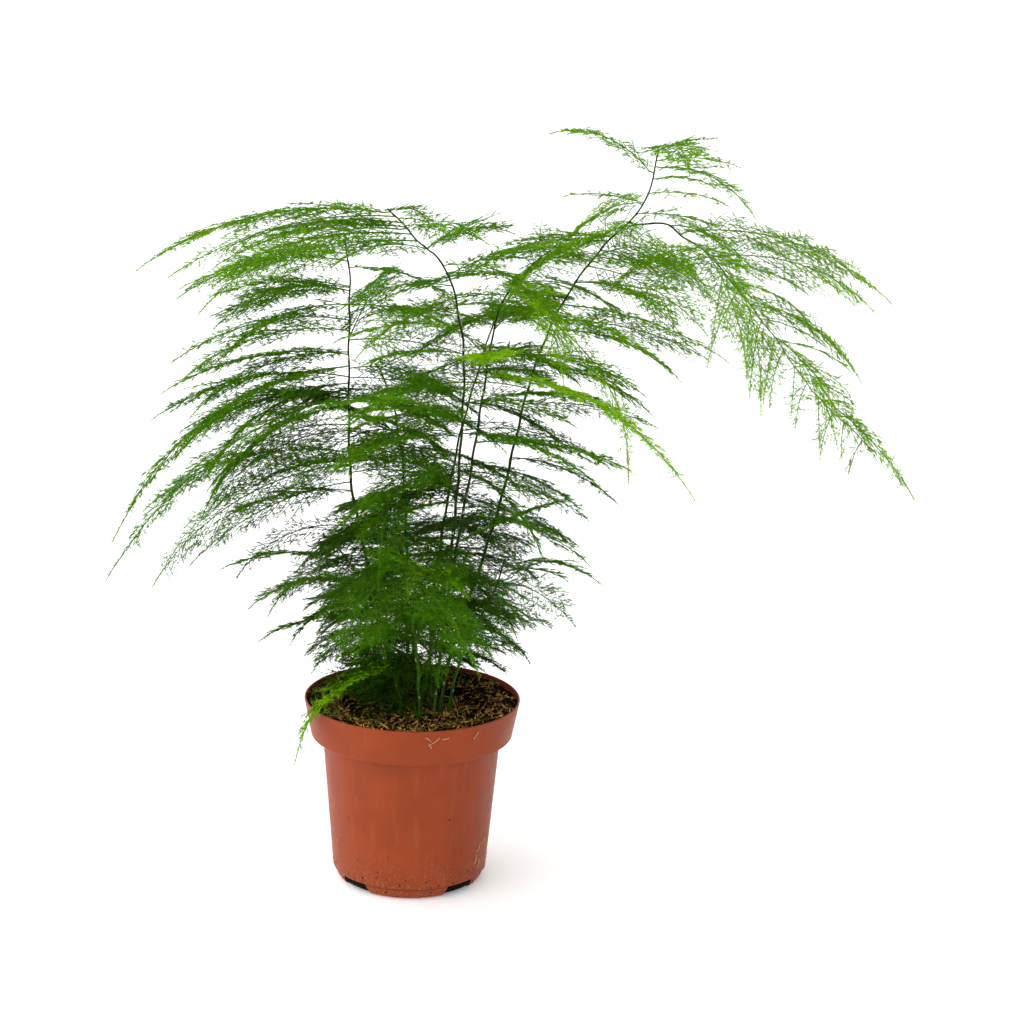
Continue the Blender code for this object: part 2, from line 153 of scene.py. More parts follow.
class FernStemSettings(bpy.types.PropertyGroup):
    thickness: share("Thickness", 0.92, "Visible stem radius as a share of the CAD stem's")
    limb_thickness: share("Limb thickness", 0.46, "The same for the side limb of the tall stem")
    node_spacing: size("Node spacing", 0.013, "Distance between the nodes of a stem")
    zigzag: size("Zigzag", 0.0004, "How far a stem steps aside at each node")
    scale_length: size("Scale length", 0.0026, "Length of the dry scale at each node")
    young: colour("Young stem", "#2a5410", "Colour of the stems near the soil")
    old: colour("Old stem", "#0b2406", "Colour of the stems higher up")
    streak: colour("Streak", "#7d9440", "Colour of the fine pale streaks on the stems")
    scale: colour("Scale", "#c9c79a", "Colour of the dry scales")


class FernSpraySettings(bpy.types.PropertyGroup):
    needle_length: size("Needle length", 0.0036, "Length of a needle")
    needle_width: size("Needle width", 0.00052, "Width of a needle at its foot")
    branch_spacing: size("Branch spacing", 0.0058, "Distance between branches on one side")
    twig_spacing: size("Twig spacing", 0.0056, "Distance between twigs on one side of a branch")
    twig_length: size("Twig length", 0.0062, "Length of the longest twigs")
    tuft_spacing: size("Tuft spacing", 0.0019, "Distance between tufts of needles")
    roll: FloatProperty(name="Roll", default=32.0, min=0.0, max=90.0,
                        description="How many degrees a spray may lean to one side")
    spread: share("Spread", 1.45, "Visible half width of a spray as a share of the CAD frond's")
    tail: size("Tail", 0.006, "How far the growing tip reaches past the CAD frond")
    # Painted light and shade: deep green and deep twig stand in for the shade in the dense middle and low
    # down; pale green and pale twig are partly the colour of young sprays and partly painted light on the
    # sprays at the top.
    deep: colour("Deep green", "#042401", "Needles in the dense middle of the plant")
    fresh: colour("Fresh green", "#2e7603", "Needles half way up")
    pale: colour("Pale green", "#88b806", "Needles at the top and on young sprays")
    tip: colour("Needle tip", "#9cc814", "What the tips of the needles turn towards")
    deep_twig: colour("Deep twig", "#1e4006", "Twigs in the dense middle of the plant")
    pale_twig: colour("Pale twig", "#639c14", "Twigs at the top and on young sprays")


class FernStageSettings(bpy.types.PropertyGroup):
    floor_size: size("Floor size", 24.0, "Side of the square floor")
    sky: share("Sky", 1.32, "Strength of the even light from all round")
    one_sided: share("One-sided", 0.95, "How much brighter the sky is on the left than on average")
    key_power: FloatProperty(name="Key light", default=3.0, min=0.0, unit="POWER",
                             description="Power of the soft light from the upper left")
    paper: colour("Paper", "#ffffff", "Colour of the floor")
    paper_shade: colour("Paper shade", "#fbfbfb", "Colour of the faint clouds on the floor")


# Nodes and materials --------------------------------------------------------------------------

# A colour mix's sockets by place, because they share their names with its other kinds of value.
AMOUNT, UNDER, OVER, MIXED = 0, 6, 7, 2


def set_inputs(node, inputs):
    """Links each input of a node to the socket given for it, or sets it to the constant given."""
    for key, value in inputs.items():
        socket = node.inputs[key]
        if isinstance(value, bpy.types.NodeSocket):
            node.id_data.links.new(value, socket)
        elif socket.type == "RGBA":
            socket.default_value = (*value, 1.0)
        else:
            socket.default_value = value


def add_node(tree, kind, inputs=None, output=0, **settings):
    """Adds a node with its settings and inputs, and gives one of its outputs."""
    made = tree.nodes.new(kind)
    for name, value in settings.items():
        setattr(made, name, value)
    set_inputs(made, inputs or {})
    return made.outputs[output] if made.outputs else None


def blank_material(name):
    made = bpy.data.materials.new(name)
    made.use_nodes = True
    return made, made.node_tree, made.node_tree.nodes["Principled BSDF"]


def lumps(tree, grain, stretch=(1.0, 1.0, 1.0), detail=3.0):
    """Noise whose lumps are about one grain long, in metres, stretched along the axes."""
    place = add_node(tree, "ShaderNodeTexCoord", output="Object")
    scaled = add_node(tree, "ShaderNodeMapping", {"Vector": place, "Scale": stretch})
    return add_node(tree, "ShaderNodeTexNoise",
                    {"Vector": scaled, "Scale": 1.0 / grain, "Detail": detail})


def patches(tree, grain, low, high, least=0.0, most=1.0, **noise_settings):
    """A share that rises from least to most where the lumps rise from low to high."""
    return add_node(tree, "ShaderNodeMapRange",
                    {"Value": lumps(tree, grain, **noise_settings), "From Min": low, "From Max": high,
                     "To Min": least, "To Max": most})


def by_height(tree, low, high, most=1.0):
    """A share that goes from nothing at one height above the ground to most at another."""
    place = add_node(tree, "ShaderNodeTexCoord", output="Object")
    height = add_node(tree, "ShaderNodeSeparateXYZ", {"Vector": place}, "Z")
    return add_node(tree, "ShaderNodeMapRange",
                    {"Value": height, "From Min": low, "From Max": high, "To Max": most})


def layered(tree, ground, coats):
    """A colour with coats laid over it in turn, each given by where it shows and its own colour."""
    for shows, coat in coats:
        ground = add_node(tree, "ShaderNodeMix", {AMOUNT: shows, UNDER: ground, OVER: coat}, MIXED,
                          data_type="RGBA")
    return ground


def terracotta_plastic(settings):
    """Moulded plastic: even, satin, faintly mottled, a dusty film at the foot, painted shade under the
    ledge.
    """
    made, tree, shader = blank_material("terracotta_plastic")
    ledge = settings.ledge_height
    # Clouds 18 mm across from the moulding, scuffs 4 mm wide and long downwards, 1 mm dust specks.
    deep = [value * 0.86 for value in settings.clay]
    mottle = patches(tree, 0.018, 0.35, 0.65)
    streak = patches(tree, 0.004, 0.56, 0.72, 0.0, 0.16, stretch=(1.0, 1.0, 0.12))
    film = add_node(tree, "ShaderNodeMath", {0: by_height(tree, 0.030, 0.0, 0.9),
                                             1: patches(tree, 0.0011, 0.52, 0.66, detail=5.0)},
                    operation="MULTIPLY")
    # Painted shade: a dark band just under the fine ledge, where the ledge's shadow falls.
    ledge_shade = add_node(tree, "ShaderNodeMath", {0: by_height(tree, ledge - 0.0013, ledge, 0.75),
                                              1: by_height(tree, ledge + 0.0001, ledge)},
                     operation="MULTIPLY")
    base = layered(tree, deep, [(mottle, settings.clay), (streak, settings.dust),
                                (film, settings.dust), (ledge_shade, settings.ledge_shade)])
    grain = add_node(tree, "ShaderNodeBump", {"Height": lumps(tree, 0.0009), "Distance": 0.00003,
                                              "Strength": 1.0})
    set_inputs(shader, {"Base Color": base, "Roughness": patches(tree, 0.009, 0.3, 0.7, 0.40, 0.54),
                        "Specular IOR Level": 0.2, "Normal": grain})
    return made


def damp_peat(settings):
    """Damp peat: nearly black in its pores, brown where it crumbles and dries, fully matt."""
    made, tree, shader = blank_material("damp_peat")
    # Crumbs about 2 mm across with pores of under a millimetre.
    dry = [min(value * 3.2, 1.0) for value in settings.peat]
    base = layered(tree, settings.peat, [(patches(tree, 0.0022, 0.42, 0.66, detail=6.0), dry)])
    pores = add_node(tree, "ShaderNodeBump", {"Height": lumps(tree, 0.0008, detail=6.0),
                                              "Distance": 0.0004, "Strength": 1.0})
    set_inputs(shader, {"Base Color": base, "Roughness": 0.94, "Specular IOR Level": 0.08,
                        "Normal": pores})
    return made


def plant_litter(name, middle_tone, spread, roughness):
    """Dry plant matter whose colour changes from one scrap to the next, dark to straw."""
    made, tree, shader = blank_material(name)
    # The tone changes every 2.6 mm: from one scrap to the next, and along a long fibre.
    dark = [value * (1.0 - spread) for value in middle_tone]
    light = [min(value * (1.0 + spread), 1.0) for value in middle_tone]
    shade = [value * 0.5 for value in middle_tone]
    base = layered(tree, dark, [(patches(tree, 0.0026, 0.45, 0.62, detail=2.0), light),
                                (patches(tree, 0.0007, 0.40, 0.70, 0.0, 0.35), shade)])
    set_inputs(shader, {"Base Color": base, "Roughness": roughness, "Specular IOR Level": 0.12})
    return made


def green_stem(settings):
    """Waxy stem: pale and fresh by the soil, darker with age, finely streaked along its length."""
    made, tree, shader = blank_material("green_stem")
    # Blotches 11 mm long, a little less than between nodes, and ridges 0.6 mm wide up the stem.
    age = add_node(tree, "ShaderNodeMath", {0: by_height(tree, SOIL_TOP, SOIL_TOP + 0.10),
                                            1: patches(tree, 0.011, 0.3, 0.7, -0.25, 0.25)},
                   operation="ADD", use_clamp=True)
    streak = patches(tree, 0.0006, 0.45, 0.75, 0.0, 0.3, stretch=(1.0, 1.0, 0.1))
    base = layered(tree, settings.young, [(age, settings.old), (streak, settings.streak)])
    set_inputs(shader, {"Base Color": base, "Roughness": 0.46, "Specular IOR Level": 0.08})
    return made


def fern_foliage(settings):
    """Needles: spray tones across the strip, partly painted shade and light; tips along it painted
    highlight; soft sheen.
    """
    made, tree, shader = blank_material("fern_foliage")
    strip = add_node(tree, "ShaderNodeUVMap", uv_map=STRIP)
    across = add_node(tree, "ShaderNodeSeparateXYZ", {"Vector": strip}, "X")
    along = across.node.outputs["Y"]
    ramp = add_node(tree, "ShaderNodeValToRGB", {"Fac": across})
    elements = ramp.node.color_ramp.elements
    tones = [(0.0, settings.deep_twig), (TWIG_TONE_END, settings.pale_twig), (TONE_START, settings.deep),
             (0.52, settings.fresh), (0.98, settings.pale)]
    while len(elements) < len(tones):
        elements.new(0.5)
    for element, (place, tone) in zip(elements, tones):
        element.position = place
        element.color = (*tone, 1.0)
    # Painted highlight: the needles turn lighter towards their tips, strongly on the bright sprays and
    # hardly at all in the painted shade of the dense middle.
    lit = add_node(tree, "ShaderNodeMapRange", {"Value": across, "From Min": TONE_START,
                                                "From Max": 0.60, "To Min": 0.10, "To Max": 0.40})
    tip = add_node(tree, "ShaderNodeMapRange", {"Value": along, "From Min": 0.1, "To Max": lit})
    set_inputs(shader, {"Base Color": layered(tree, ramp, [(tip, settings.tip)]),
                        "Roughness": 0.6, "Specular IOR Level": 0.03})
    return made


# Meshes ---------------------------------------------------------------------------------------

def add_piece(name, mesh, made_of=None):
    """A new object at the origin, of one material."""
    piece = bpy.data.objects.new(name, mesh)
    bpy.context.scene.collection.objects.link(piece)
    if made_of:
        mesh.materials.clear()
        mesh.materials.append(made_of)
    return piece


def finish_piece(piece, nodes=()):
    """Puts a finished piece on its body and hides the CAD nodes that it replaces."""
    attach(piece, BODY)
    if nodes:
        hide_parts(*nodes)


def frozen(thing):
    """Turns an object's evaluated result into its own plain mesh, without modifiers."""
    graph = bpy.context.evaluated_depsgraph_get()
    mesh = bpy.data.meshes.new_from_object(thing.evaluated_get(graph),
                                           preserve_all_data_layers=True, depsgraph=graph)
    thing.modifiers.clear()
    old = thing.data
    thing.data = mesh
    bpy.data.meshes.remove(old)
    return thing


def mesh_from(shape, name):
    """The mesh of a bmesh, which is freed."""
    mesh = bpy.data.meshes.new(name)
    shape.to_mesh(mesh)
    shape.free()
    return mesh


def smooth_shaded(mesh, sharp_degrees=180.0):
    mesh.shade_smooth()
    if sharp_degrees < 180.0:
        mesh.set_sharp_from_angle(angle=math.radians(sharp_degrees))


def arc(centre, radii, start, end, steps):
    """Points on an ellipse from one angle to another, both in degrees."""
    points = []
    for step in range(steps + 1):
        angle = math.radians(start + (end - start) * step / steps)
        points.append((centre[0] + radii[0] * math.cos(angle), centre[1] + radii[1] * math.sin(angle)))
    return points


def lathe(name, outline, segments):
    """A closed solid of revolution from (radius, height) points that start and end on the axis."""
    rings = outline[1:-1]
    verts = [(0.0, 0.0, outline[0][1]), (0.0, 0.0, outline[-1][1])]
    for radius, height in rings:
        for step in range(segments):
            angle = 2 * math.pi * step / segments
            verts.append((radius * math.cos(angle), radius * math.sin(angle), height))
    faces = []
    last = 2 + (len(rings) - 1) * segments
    for step in range(segments):
        after = (step + 1) % segments
        faces.append((0, 2 + step, 2 + after))
        faces.append((1, last + after, last + step))
        for ring in range(len(rings) - 1):
            low = 2 + ring * segments
            faces.append((low + step, low + segments + step, low + segments + after, low + after))
    mesh = bpy.data.meshes.new(name)
    mesh.from_pydata(verts, [], faces)
    return mesh


# Width of a tube's place on the colour strip.
TUBE_STRIP = 0.02


class Growth:
    """Collects the vertices and faces of tubes and needles, and their places on the colour strip."""

    def __init__(self):
        self.verts = []
        self.faces = []
        self.strip = []

    def tube(self, points, radii, sides, strip_start=0.0):
        """A tube through the points, with a radius for each and closed ends."""
        first = len(self.verts)
        ahead = (points[1] - points[0]).normalized()
        across = ahead.orthogonal().normalized()
        for index, (point, radius) in enumerate(zip(points, radii)):
            after = points[min(index + 1, len(points) - 1)]
            before = points[max(index - 1, 0)]
            ahead = (after - before).normalized()
            across = (across - ahead * across.dot(ahead)).normalized()
            up = ahead.cross(across)
            for side in range(sides):
                angle = 2 * math.pi * side / sides
                self.verts.append(point + (across * math.cos(angle) + up * math.sin(angle)) * radius)
                self.strip.append((strip_start + TUBE_STRIP * side / sides,
                                   0.02 + 0.9 * index / (len(points) - 1)))
        for index in range(len(points) - 1):
            low = first + index * sides
            for side in range(sides):
                after = (side + 1) % sides
                self.faces.append((low + side, low + after, low + sides + after, low + sides + side))
        end = first + (len(points) - 1) * sides
        self.faces.append(tuple(first + side for side in reversed(range(sides))))
        self.faces.append(tuple(end + side for side in range(sides)))

    def mesh(self, name):
        made = bpy.data.meshes.new(name)
        made.from_pydata(self.verts, [], self.faces)
        return made

    def striped_mesh(self, name):
        """The mesh with each corner's place on the colour strip."""
        made = self.mesh(name)
        layer = made.uv_layers.new(name=STRIP)
        places = []
        for loop in made.loops:
            places.extend(self.strip[loop.vertex_index])
        layer.data.foreach_set("uv", places)
        return made


# Reading the frame ----------------------------------------------------------------------------

def cad_rings(node, first_ring_of, ring_size):
    """Rings of welded vertices from one end of a CAD node to the other."""
    shape = bmesh.new()
    shape.from_mesh(CAD_NODES[node].data)
    bmesh.ops.remove_doubles(shape, verts=shape.verts, dist=WELD_DISTANCE)
    ring = sorted(shape.verts, key=first_ring_of)[:ring_size]
    seen = set(ring)
    rings = []
    while ring:
        rings.append([vertex.co.copy() for vertex in ring])
        following = []
        for vertex in ring:
            for edge in vertex.link_edges:
                other = edge.other_vert(vertex)
                if other not in seen:
                    seen.add(other)
                    following.append(other)
        ring = following
    shape.free()
    return rings


def middle(points):
    return sum(points, Vector()) / len(points)


def smooth_path(points, steps):
    """A Catmull-Rom curve through the points."""
    padded = [2 * points[0] - points[1]] + points + [2 * points[-1] - points[-2]]
    path = []
    for index in range(len(points) - 1):
        before, start, end, after = padded[index:index + 4]
        for step in range(steps):
            t = step / steps
            path.append(0.5 * (2 * start + (end - before) * t
                               + (2 * before - 5 * start + 4 * end - after) * t ** 2
                               + (3 * start - before - 3 * end + after) * t ** 3))
    return path + [points[-1].copy()]


def facing(heading, rise):
    """The direction with a heading, turned from +X towards +Y, and a rise above the level."""
    return Vector((math.cos(rise) * math.cos(heading), math.cos(rise) * math.sin(heading),
                   math.sin(rise)))


class Path:
    """A smooth path that can be read at any distance from its start."""

    def __init__(self, points):
        self.points = points
        self.marks = [0.0]
        for before, after in zip(points, points[1:]):
            self.marks.append(self.marks[-1] + (after - before).length)
        self.length = self.marks[-1]

    def at(self, distance):
        """The place and the direction at a distance."""
        distance = min(max(distance, 0.0), self.length)
        low, high = 0, len(self.marks) - 1
        while high - low > 1:
            half = (low + high) // 2
            low, high = (half, high) if self.marks[half] <= distance else (low, half)
        step = self.points[high] - self.points[low]
        span = self.marks[high] - self.marks[low]
        return self.points[low] + step * ((distance - self.marks[low]) / span), step.normalized()


def search_tree(points):
    """A tree that finds the nearest of the points."""
    tree = KDTree(len(points))
    for index, point in enumerate(points):
        tree.insert(point, index)
    tree.balance()
    return tree


def read_stems():
    """Each stem's smooth path and its CAD radius at both ends."""
    stems = {}
    names = [name for name in STEM_NAMES if name != "limb"]
    for name in names:
        rings = cad_rings("stem_" + name, lambda vertex: vertex.co.z, 8)
        stems[name] = stem_from(rings)
    tall = search_tree(stems["tall"][0].points)
    rings = cad_rings("stem_limb", lambda vertex: tall.find(vertex.co)[2], 8)
    path, foot, tip = stem_from(rings)
    joint = tall.find(path.points[0])[0].copy()
    stems["limb"] = (Path([joint] + path.points), foot, tip)
    return stems


def stem_from(rings):
    """A stem's smooth path, and its radius at the foot and at the tip."""
    centres = [middle(ring) for ring in rings]
    radii = [(ring[0] - centre).length for ring, centre in zip(rings, centres)]
    return Path(smooth_path(centres, 5)), radii[0], radii[-1]


def read_frond(node, stem_path):
    """A frond's smooth spine, rooted in its stem, and its widest half width."""
    tree = search_tree(stem_path.points)
    corners = [vertex.co.copy() for vertex in CAD_NODES[node].data.vertices]
    foot = min(corners, key=lambda corner: tree.find(corner)[2])
    rings = cad_rings(node, lambda vertex: (vertex.co - foot).length, 4)
    centres = [middle(ring) for ring in rings]
    widest = max((corner.xy - centre.xy).length
                 for ring, centre in zip(rings, centres) for corner in ring)
    joint = tree.find(centres[0])[0].copy()
    return Path([joint] + smooth_path(centres, 5)), widest


# Pot ------------------------------------------------------------------------------------------

POT_SEGMENTS = 192
ROUND_EDGE = 0.0009
# The ledge over the feet falls away by this much instead of lying dead level.
LEDGE_NICK = 0.0001
FEET = 4
POT_SHARP_DEGREES = 34.0


def inner_wall(settings, inset):
    """Inner outline of the pot from the floor's centre up to the band."""
    floor = settings.floor_lift + inset
    riser = settings.base_radius - settings.foot_width + inset
    ledge = POT_HEIGHT - settings.band_height + inset
    corner = arc((settings.base_radius, settings.corner_height),
                 (settings.body_foot_radius - settings.base_radius - inset,
                  settings.corner_height - inset), -90, 0, 8)
    return ([(0.0, floor), (riser, floor), (riser, inset)] + corner
            + [(settings.body_top_radius - inset, ledge), (settings.band_foot_radius - inset, ledge)])


def pot_outline(settings):
    """The shell's whole outline: inside, lip, band, body, ledge, foot ring and raised floor."""
    half = settings.wall / 2
    lip = arc((RIM_RADIUS - half, POT_HEIGHT - half), (half, half), 180, 0, 10)
    band_foot = POT_HEIGHT - settings.band_height
    slope = (RIM_RADIUS - settings.band_foot_radius) / settings.band_height
    rounding = (ROUND_EDGE, ROUND_EDGE)
    turn_out = arc((settings.band_foot_radius - ROUND_EDGE + slope * ROUND_EDGE, band_foot + ROUND_EDGE),
                   rounding, 0, -90, 6)
    turn_in = arc((settings.body_top_radius + ROUND_EDGE, band_foot - ROUND_EDGE), rounding, 90, 180, 6)
    corner = arc((settings.base_radius, settings.corner_height),
                 (settings.body_foot_radius - settings.base_radius, settings.corner_height), 0, -90, 24)
    level = settings.ledge_height
    above = [point for point in corner if point[1] >= level]
    below = [(radius - settings.ledge_depth, height) for radius, height in corner if height < level]
    ledge = [(above[-1][0] - LEDGE_NICK, level), (below[0][0], level - LEDGE_NICK)]
    riser = settings.base_radius - settings.foot_width
    underside = [(riser, 0.0), (riser, settings.floor_lift), (0.0, settings.floor_lift)]
    return (inner_wall(settings, settings.wall) + lip + turn_out + turn_in + above + ledge + below
            + underside)


def notch_block(settings, turn):
    """A wedge that cuts one gap through the foot ring, wider at the ground."""
    inner = settings.base_radius - 1.5 * settings.foot_width
    outer = settings.body_foot_radius + settings.foot_width
    depth = settings.foot_width
    flare = (settings.notch_foot - settings.notch_top) / 2 * (1.0 + depth / settings.notch_height)
    shape = bmesh.new()
    bmesh.ops.create_cube(shape, size=2.0)
    for corner in shape.verts:
        half = settings.notch_top / 2 + (flare if corner.co.z < 0 else 0.0)
        corner.co = (outer if corner.co.x > 0 else inner, math.copysign(half, corner.co.y),
                     -depth if corner.co.z < 0 else settings.notch_height)
    long_edges = [edge for edge in shape.edges
                  if all(vertex.co.z > 0 for vertex in edge.verts)
                  and abs(edge.verts[0].co.y - edge.verts[1].co.y) < 1e-6]
    bmesh.ops.bevel(shape, geom=long_edges, offset=0.0012, segments=4, profile=0.5,
                    affect="EDGES")
    block = add_piece("notch", mesh_from(shape, "notch"))
    block.location = POT_AXIS
    block.rotation_euler.z = math.radians(turn)
    return block


class FERN_OT_pot(bpy.types.Operator):
    """Builds the moulded pot with its band, ledge, feet and raised floor"""

    bl_idname = "fern.pot"
    bl_label = "Pot"

    def execute(self, context):
        settings = context.scene.fern_pot
        mesh = lathe("pot_shell", pot_outline(settings), POT_SEGMENTS)
        mesh.transform(Matrix.Translation(POT_AXIS))
        shell = add_piece("pot_shell", mesh, terracotta_plastic(settings))
        blocks = [notch_block(settings, 360 / FEET * (gap + 0.5)) for gap in range(FEET)]
        for block in blocks:
            boolean = shell.modifiers.new(block.name, "BOOLEAN")
            boolean.operation = "DIFFERENCE"
            boolean.solver = "EXACT"
            boolean.object = block
        frozen(shell)
        for block in blocks:
            bpy.data.objects.remove(block, do_unlink=True)
        smooth_shaded(shell.data, POT_SHARP_DEGREES)
        finish_piece(shell, ["pot"])
        return {"FINISHED"}


# Instancing trees -----------------------------------------------------------------------------

# A pick past the last of a tree's shapes starts again at the first.
LAST_PICK = 63


def new_tree(name, inputs):
    """A geometry tree with named inputs, and the outputs of its input node."""
    tree = bpy.data.node_groups.new(name, "GeometryNodeTree")
    tree.interface.new_socket("Geometry", in_out="INPUT", socket_type="NodeSocketGeometry")
    for label, kind in inputs:
        tree.interface.new_socket(label, in_out="INPUT", socket_type="NodeSocket" + kind)
    tree.interface.new_socket("Geometry", in_out="OUTPUT", socket_type="NodeSocketGeometry")
    return tree, tree.nodes.new("NodeGroupInput").outputs


def end_tree(tree, geometry, made_of):
    painted = add_node(tree, "GeometryNodeSetMaterial", {"Geometry": geometry, "Material": made_of})
    add_node(tree, "NodeGroupOutput", {0: painted})


def picked_instances(tree, given, points, rotation, size_by):
    """Real geometry of one of the collection's shapes, picked at random, on every point."""
    shapes = add_node(tree, "GeometryNodeCollectionInfo", {"Collection": given["Shapes"],
                                                           "Separate Children": True,
                                                           "Reset Children": True})
    pick = add_node(tree, "FunctionNodeRandomValue", {4: 0, 5: LAST_PICK, "Seed": given["Seed"]}, 2,
                    data_type="INT")
    placed = add_node(tree, "GeometryNodeInstanceOnPoints",
                      {"Points": points, "Instance": shapes, "Pick Instance": True,
                       "Instance Index": pick, "Rotation": rotation, "Scale": size_by})
    return add_node(tree, "GeometryNodeRealizeInstances", {"Geometry": placed})


def growing_tree():
    """Shapes on points that carry their own direction, size and tone; twigs are joined on."""
    tree, given = new_tree("growing_tufts", [("Shapes", "Collection"), ("Twigs", "Object"),
                                             ("Seed", "Int"), ("Material", "Material")])
    read = {name: add_node(tree, "GeometryNodeInputNamedAttribute", {"Name": name}, "Attribute",
                           data_type=kind)
            for name, kind in (("along", "FLOAT_VECTOR"), ("side", "FLOAT_VECTOR"), ("size", "FLOAT"),
                               ("tone", "FLOAT"), ("across", "FLOAT"), ("reach", "FLOAT"))}
    turn = add_node(tree, "FunctionNodeAxesToRotation",
                    {"Primary Axis": read["along"], "Secondary Axis": read["side"]},
                    primary_axis="Z", secondary_axis="X")
    real = picked_instances(tree, given, given["Geometry"], turn, read["size"])
    across = add_node(tree, "ShaderNodeMath", {0: read["across"], 1: STRIP_HALF, 2: read["tone"]},
                      operation="MULTIPLY_ADD")
    place = add_node(tree, "ShaderNodeCombineXYZ", {"X": across, "Y": read["reach"]})
    stored = add_node(tree, "GeometryNodeStoreNamedAttribute",
                      {"Geometry": real, "Name": STRIP, "Value": place},
                      data_type="FLOAT2", domain="CORNER")
    twigs = add_node(tree, "GeometryNodeObjectInfo", {"Object": given["Twigs"]}, "Geometry")
    joined = add_node(tree, "GeometryNodeJoinGeometry", {0: stored})
    tree.links.new(twigs, joined.node.inputs[0])
    end_tree(tree, joined, given["Material"])
    return tree


def scattering_tree():
    """Shapes strewn over a surface, turned at random and tilted a little off it."""
    tree, given = new_tree("strewn_litter", [("Shapes", "Collection"), ("Where", "String"),
                                             ("Density", "Float"), ("Smallest", "Float"),
                                             ("Largest", "Float"), ("Tilt", "Float"),
                                             ("Seed", "Int"), ("Material", "Material")])
    where = add_node(tree, "GeometryNodeInputNamedAttribute", {"Name": given["Where"]}, "Attribute",
                     data_type="FLOAT")
    density = add_node(tree, "ShaderNodeMath", {0: where, 1: given["Density"]}, operation="MULTIPLY")
    points = add_node(tree, "GeometryNodeDistributePointsOnFaces",
                      {"Mesh": given["Geometry"], "Density": density, "Seed": given["Seed"]})
    tilt = add_node(tree, "ShaderNodeMath", {0: given["Tilt"], 1: -1.0}, operation="MULTIPLY")
    low = add_node(tree, "ShaderNodeCombineXYZ", {"X": tilt, "Y": tilt})
    high = add_node(tree, "ShaderNodeCombineXYZ", {"X": given["Tilt"], "Y": given["Tilt"],
                                                   "Z": 2 * math.pi})
    spin = add_node(tree, "FunctionNodeRandomValue",
                    {"Min": low, "Max": high, "Seed": given["Seed"]}, data_type="FLOAT_VECTOR")
    turn = add_node(tree, "FunctionNodeRotateRotation",
                    {"Rotation": points.node.outputs["Rotation"], "Rotate By": spin},
                    rotation_space="LOCAL")
    size_by = add_node(tree, "FunctionNodeRandomValue",
                       {2: given["Smallest"], 3: given["Largest"], "Seed": given["Seed"]}, 1,
                       data_type="FLOAT")
    real = picked_instances(tree, given, points, turn, size_by)
    end_tree(tree, real, given["Material"])
    return tree


def grown(piece, tree, values):
    """Runs a node tree on a piece with the named inputs and keeps the result as its mesh."""
    modifier = piece.modifiers.new(tree.name, "NODES")
    modifier.node_group = tree
    for item in tree.interface.items_tree:
        if item.in_out == "INPUT" and item.name in values:
            modifier[item.identifier] = values[item.name]
    return frozen(piece)


def shape_collection(name, meshes):
    shapes = bpy.data.collections.new(name)
    for index, mesh in enumerate(meshes):
        shapes.objects.link(bpy.data.objects.new(f"{name}_{index:02d}", mesh))
    return shapes


def drop_collection(shapes):
    for thing in list(shapes.objects):
        bpy.data.objects.remove(thing, do_unlink=True)
    bpy.data.collections.remove(shapes)


# Soil -----------------------------------------------------------------------------------------

SOIL_SEED = 5
SOIL_RINGS = 74
SOIL_SEGMENTS = 220
# The bed lies this far inside the pot's wall.
SOIL_GAP = 0.0002
FIBRE_RADIUS = 0.0003
CRUMB_WIDTH = 0.0022
GRAIN_WIDTH = 0.0013
MOSS_HEIGHT = 0.0034
# Dips and a rise in the bed: place from the pot's axis, and width.
LEFT_HOLLOW = ((-0.026, -0.008), 0.011)
BACK_HOLLOW = ((0.012, 0.018), 0.014)
FRONT_MOUND = ((0.020, -0.020), 0.013)
# Sizes of the clods and crumbs in the bed, with how much each adds to its roughness.
CLODS = ((0.009, 1.0), (0.0036, 0.6), (0.0016, 0.35))
# Degrees round the rim where the moss starts, is full, starts to fade and ends.
LEFT_MOSS = (118, 140, 205, 226)
RIGHT_MOSS = (14, 30, 62, 84)


def bell(x, y, centre, width):
    """One at the centre, falling smoothly to nothing about two widths away."""
    return math.exp(-((x - centre[0]) ** 2 + (y - centre[1]) ** 2) / (2 * width ** 2))


def smoothstep(low, high, value):
    t = min(max((value - low) / (high - low), 0.0), 1.0)
    return t * t * (3 - 2 * t)


def between(value, start, full, fading, end):
    """One inside a range with soft ends, and nothing outside it."""
    return smoothstep(start, full, value) * (1.0 - smoothstep(fading, end, value))


def soil_height(settings, x, y, edge):
    """Height of the soil over the CAD soil's flat top, x and y measured from the pot's axis."""
    radius = math.hypot(x, y)
    climb = settings.edge_rise * smoothstep(0.55 * edge, 0.97 * edge, radius)
    hollow = settings.hollow_depth * (bell(x, y, *LEFT_HOLLOW) + 0.7 * bell(x, y, *BACK_HOLLOW))
    mound = 0.35 * settings.edge_rise * bell(x, y, *FRONT_MOUND)
    here = Vector((x, y, 0.0))
    uneven = sum(part * noise.noise(here / width) for width, part in CLODS)
    calm = 1.0 - 0.55 * smoothstep(0.93 * edge, edge, radius)
    return climb - hollow + mound + settings.roughness * uneven * calm


def moss_share(x, y, edge):
    """How mossy the soil is: along the left rim, and in patches by the rim at the back right."""
    radius = math.hypot(x, y)
    angle = math.degrees(math.atan2(y, x)) % 360
    by_rim = smoothstep(0.66 * edge, 0.92 * edge, radius)
    left = between(angle, *LEFT_MOSS)
    right = between(angle, *RIGHT_MOSS)
    patch = smoothstep(-0.15, 0.25, noise.noise(Vector((x, y, 0.3)) / 0.012))
    return by_rim * (left + 0.55 * right * patch)


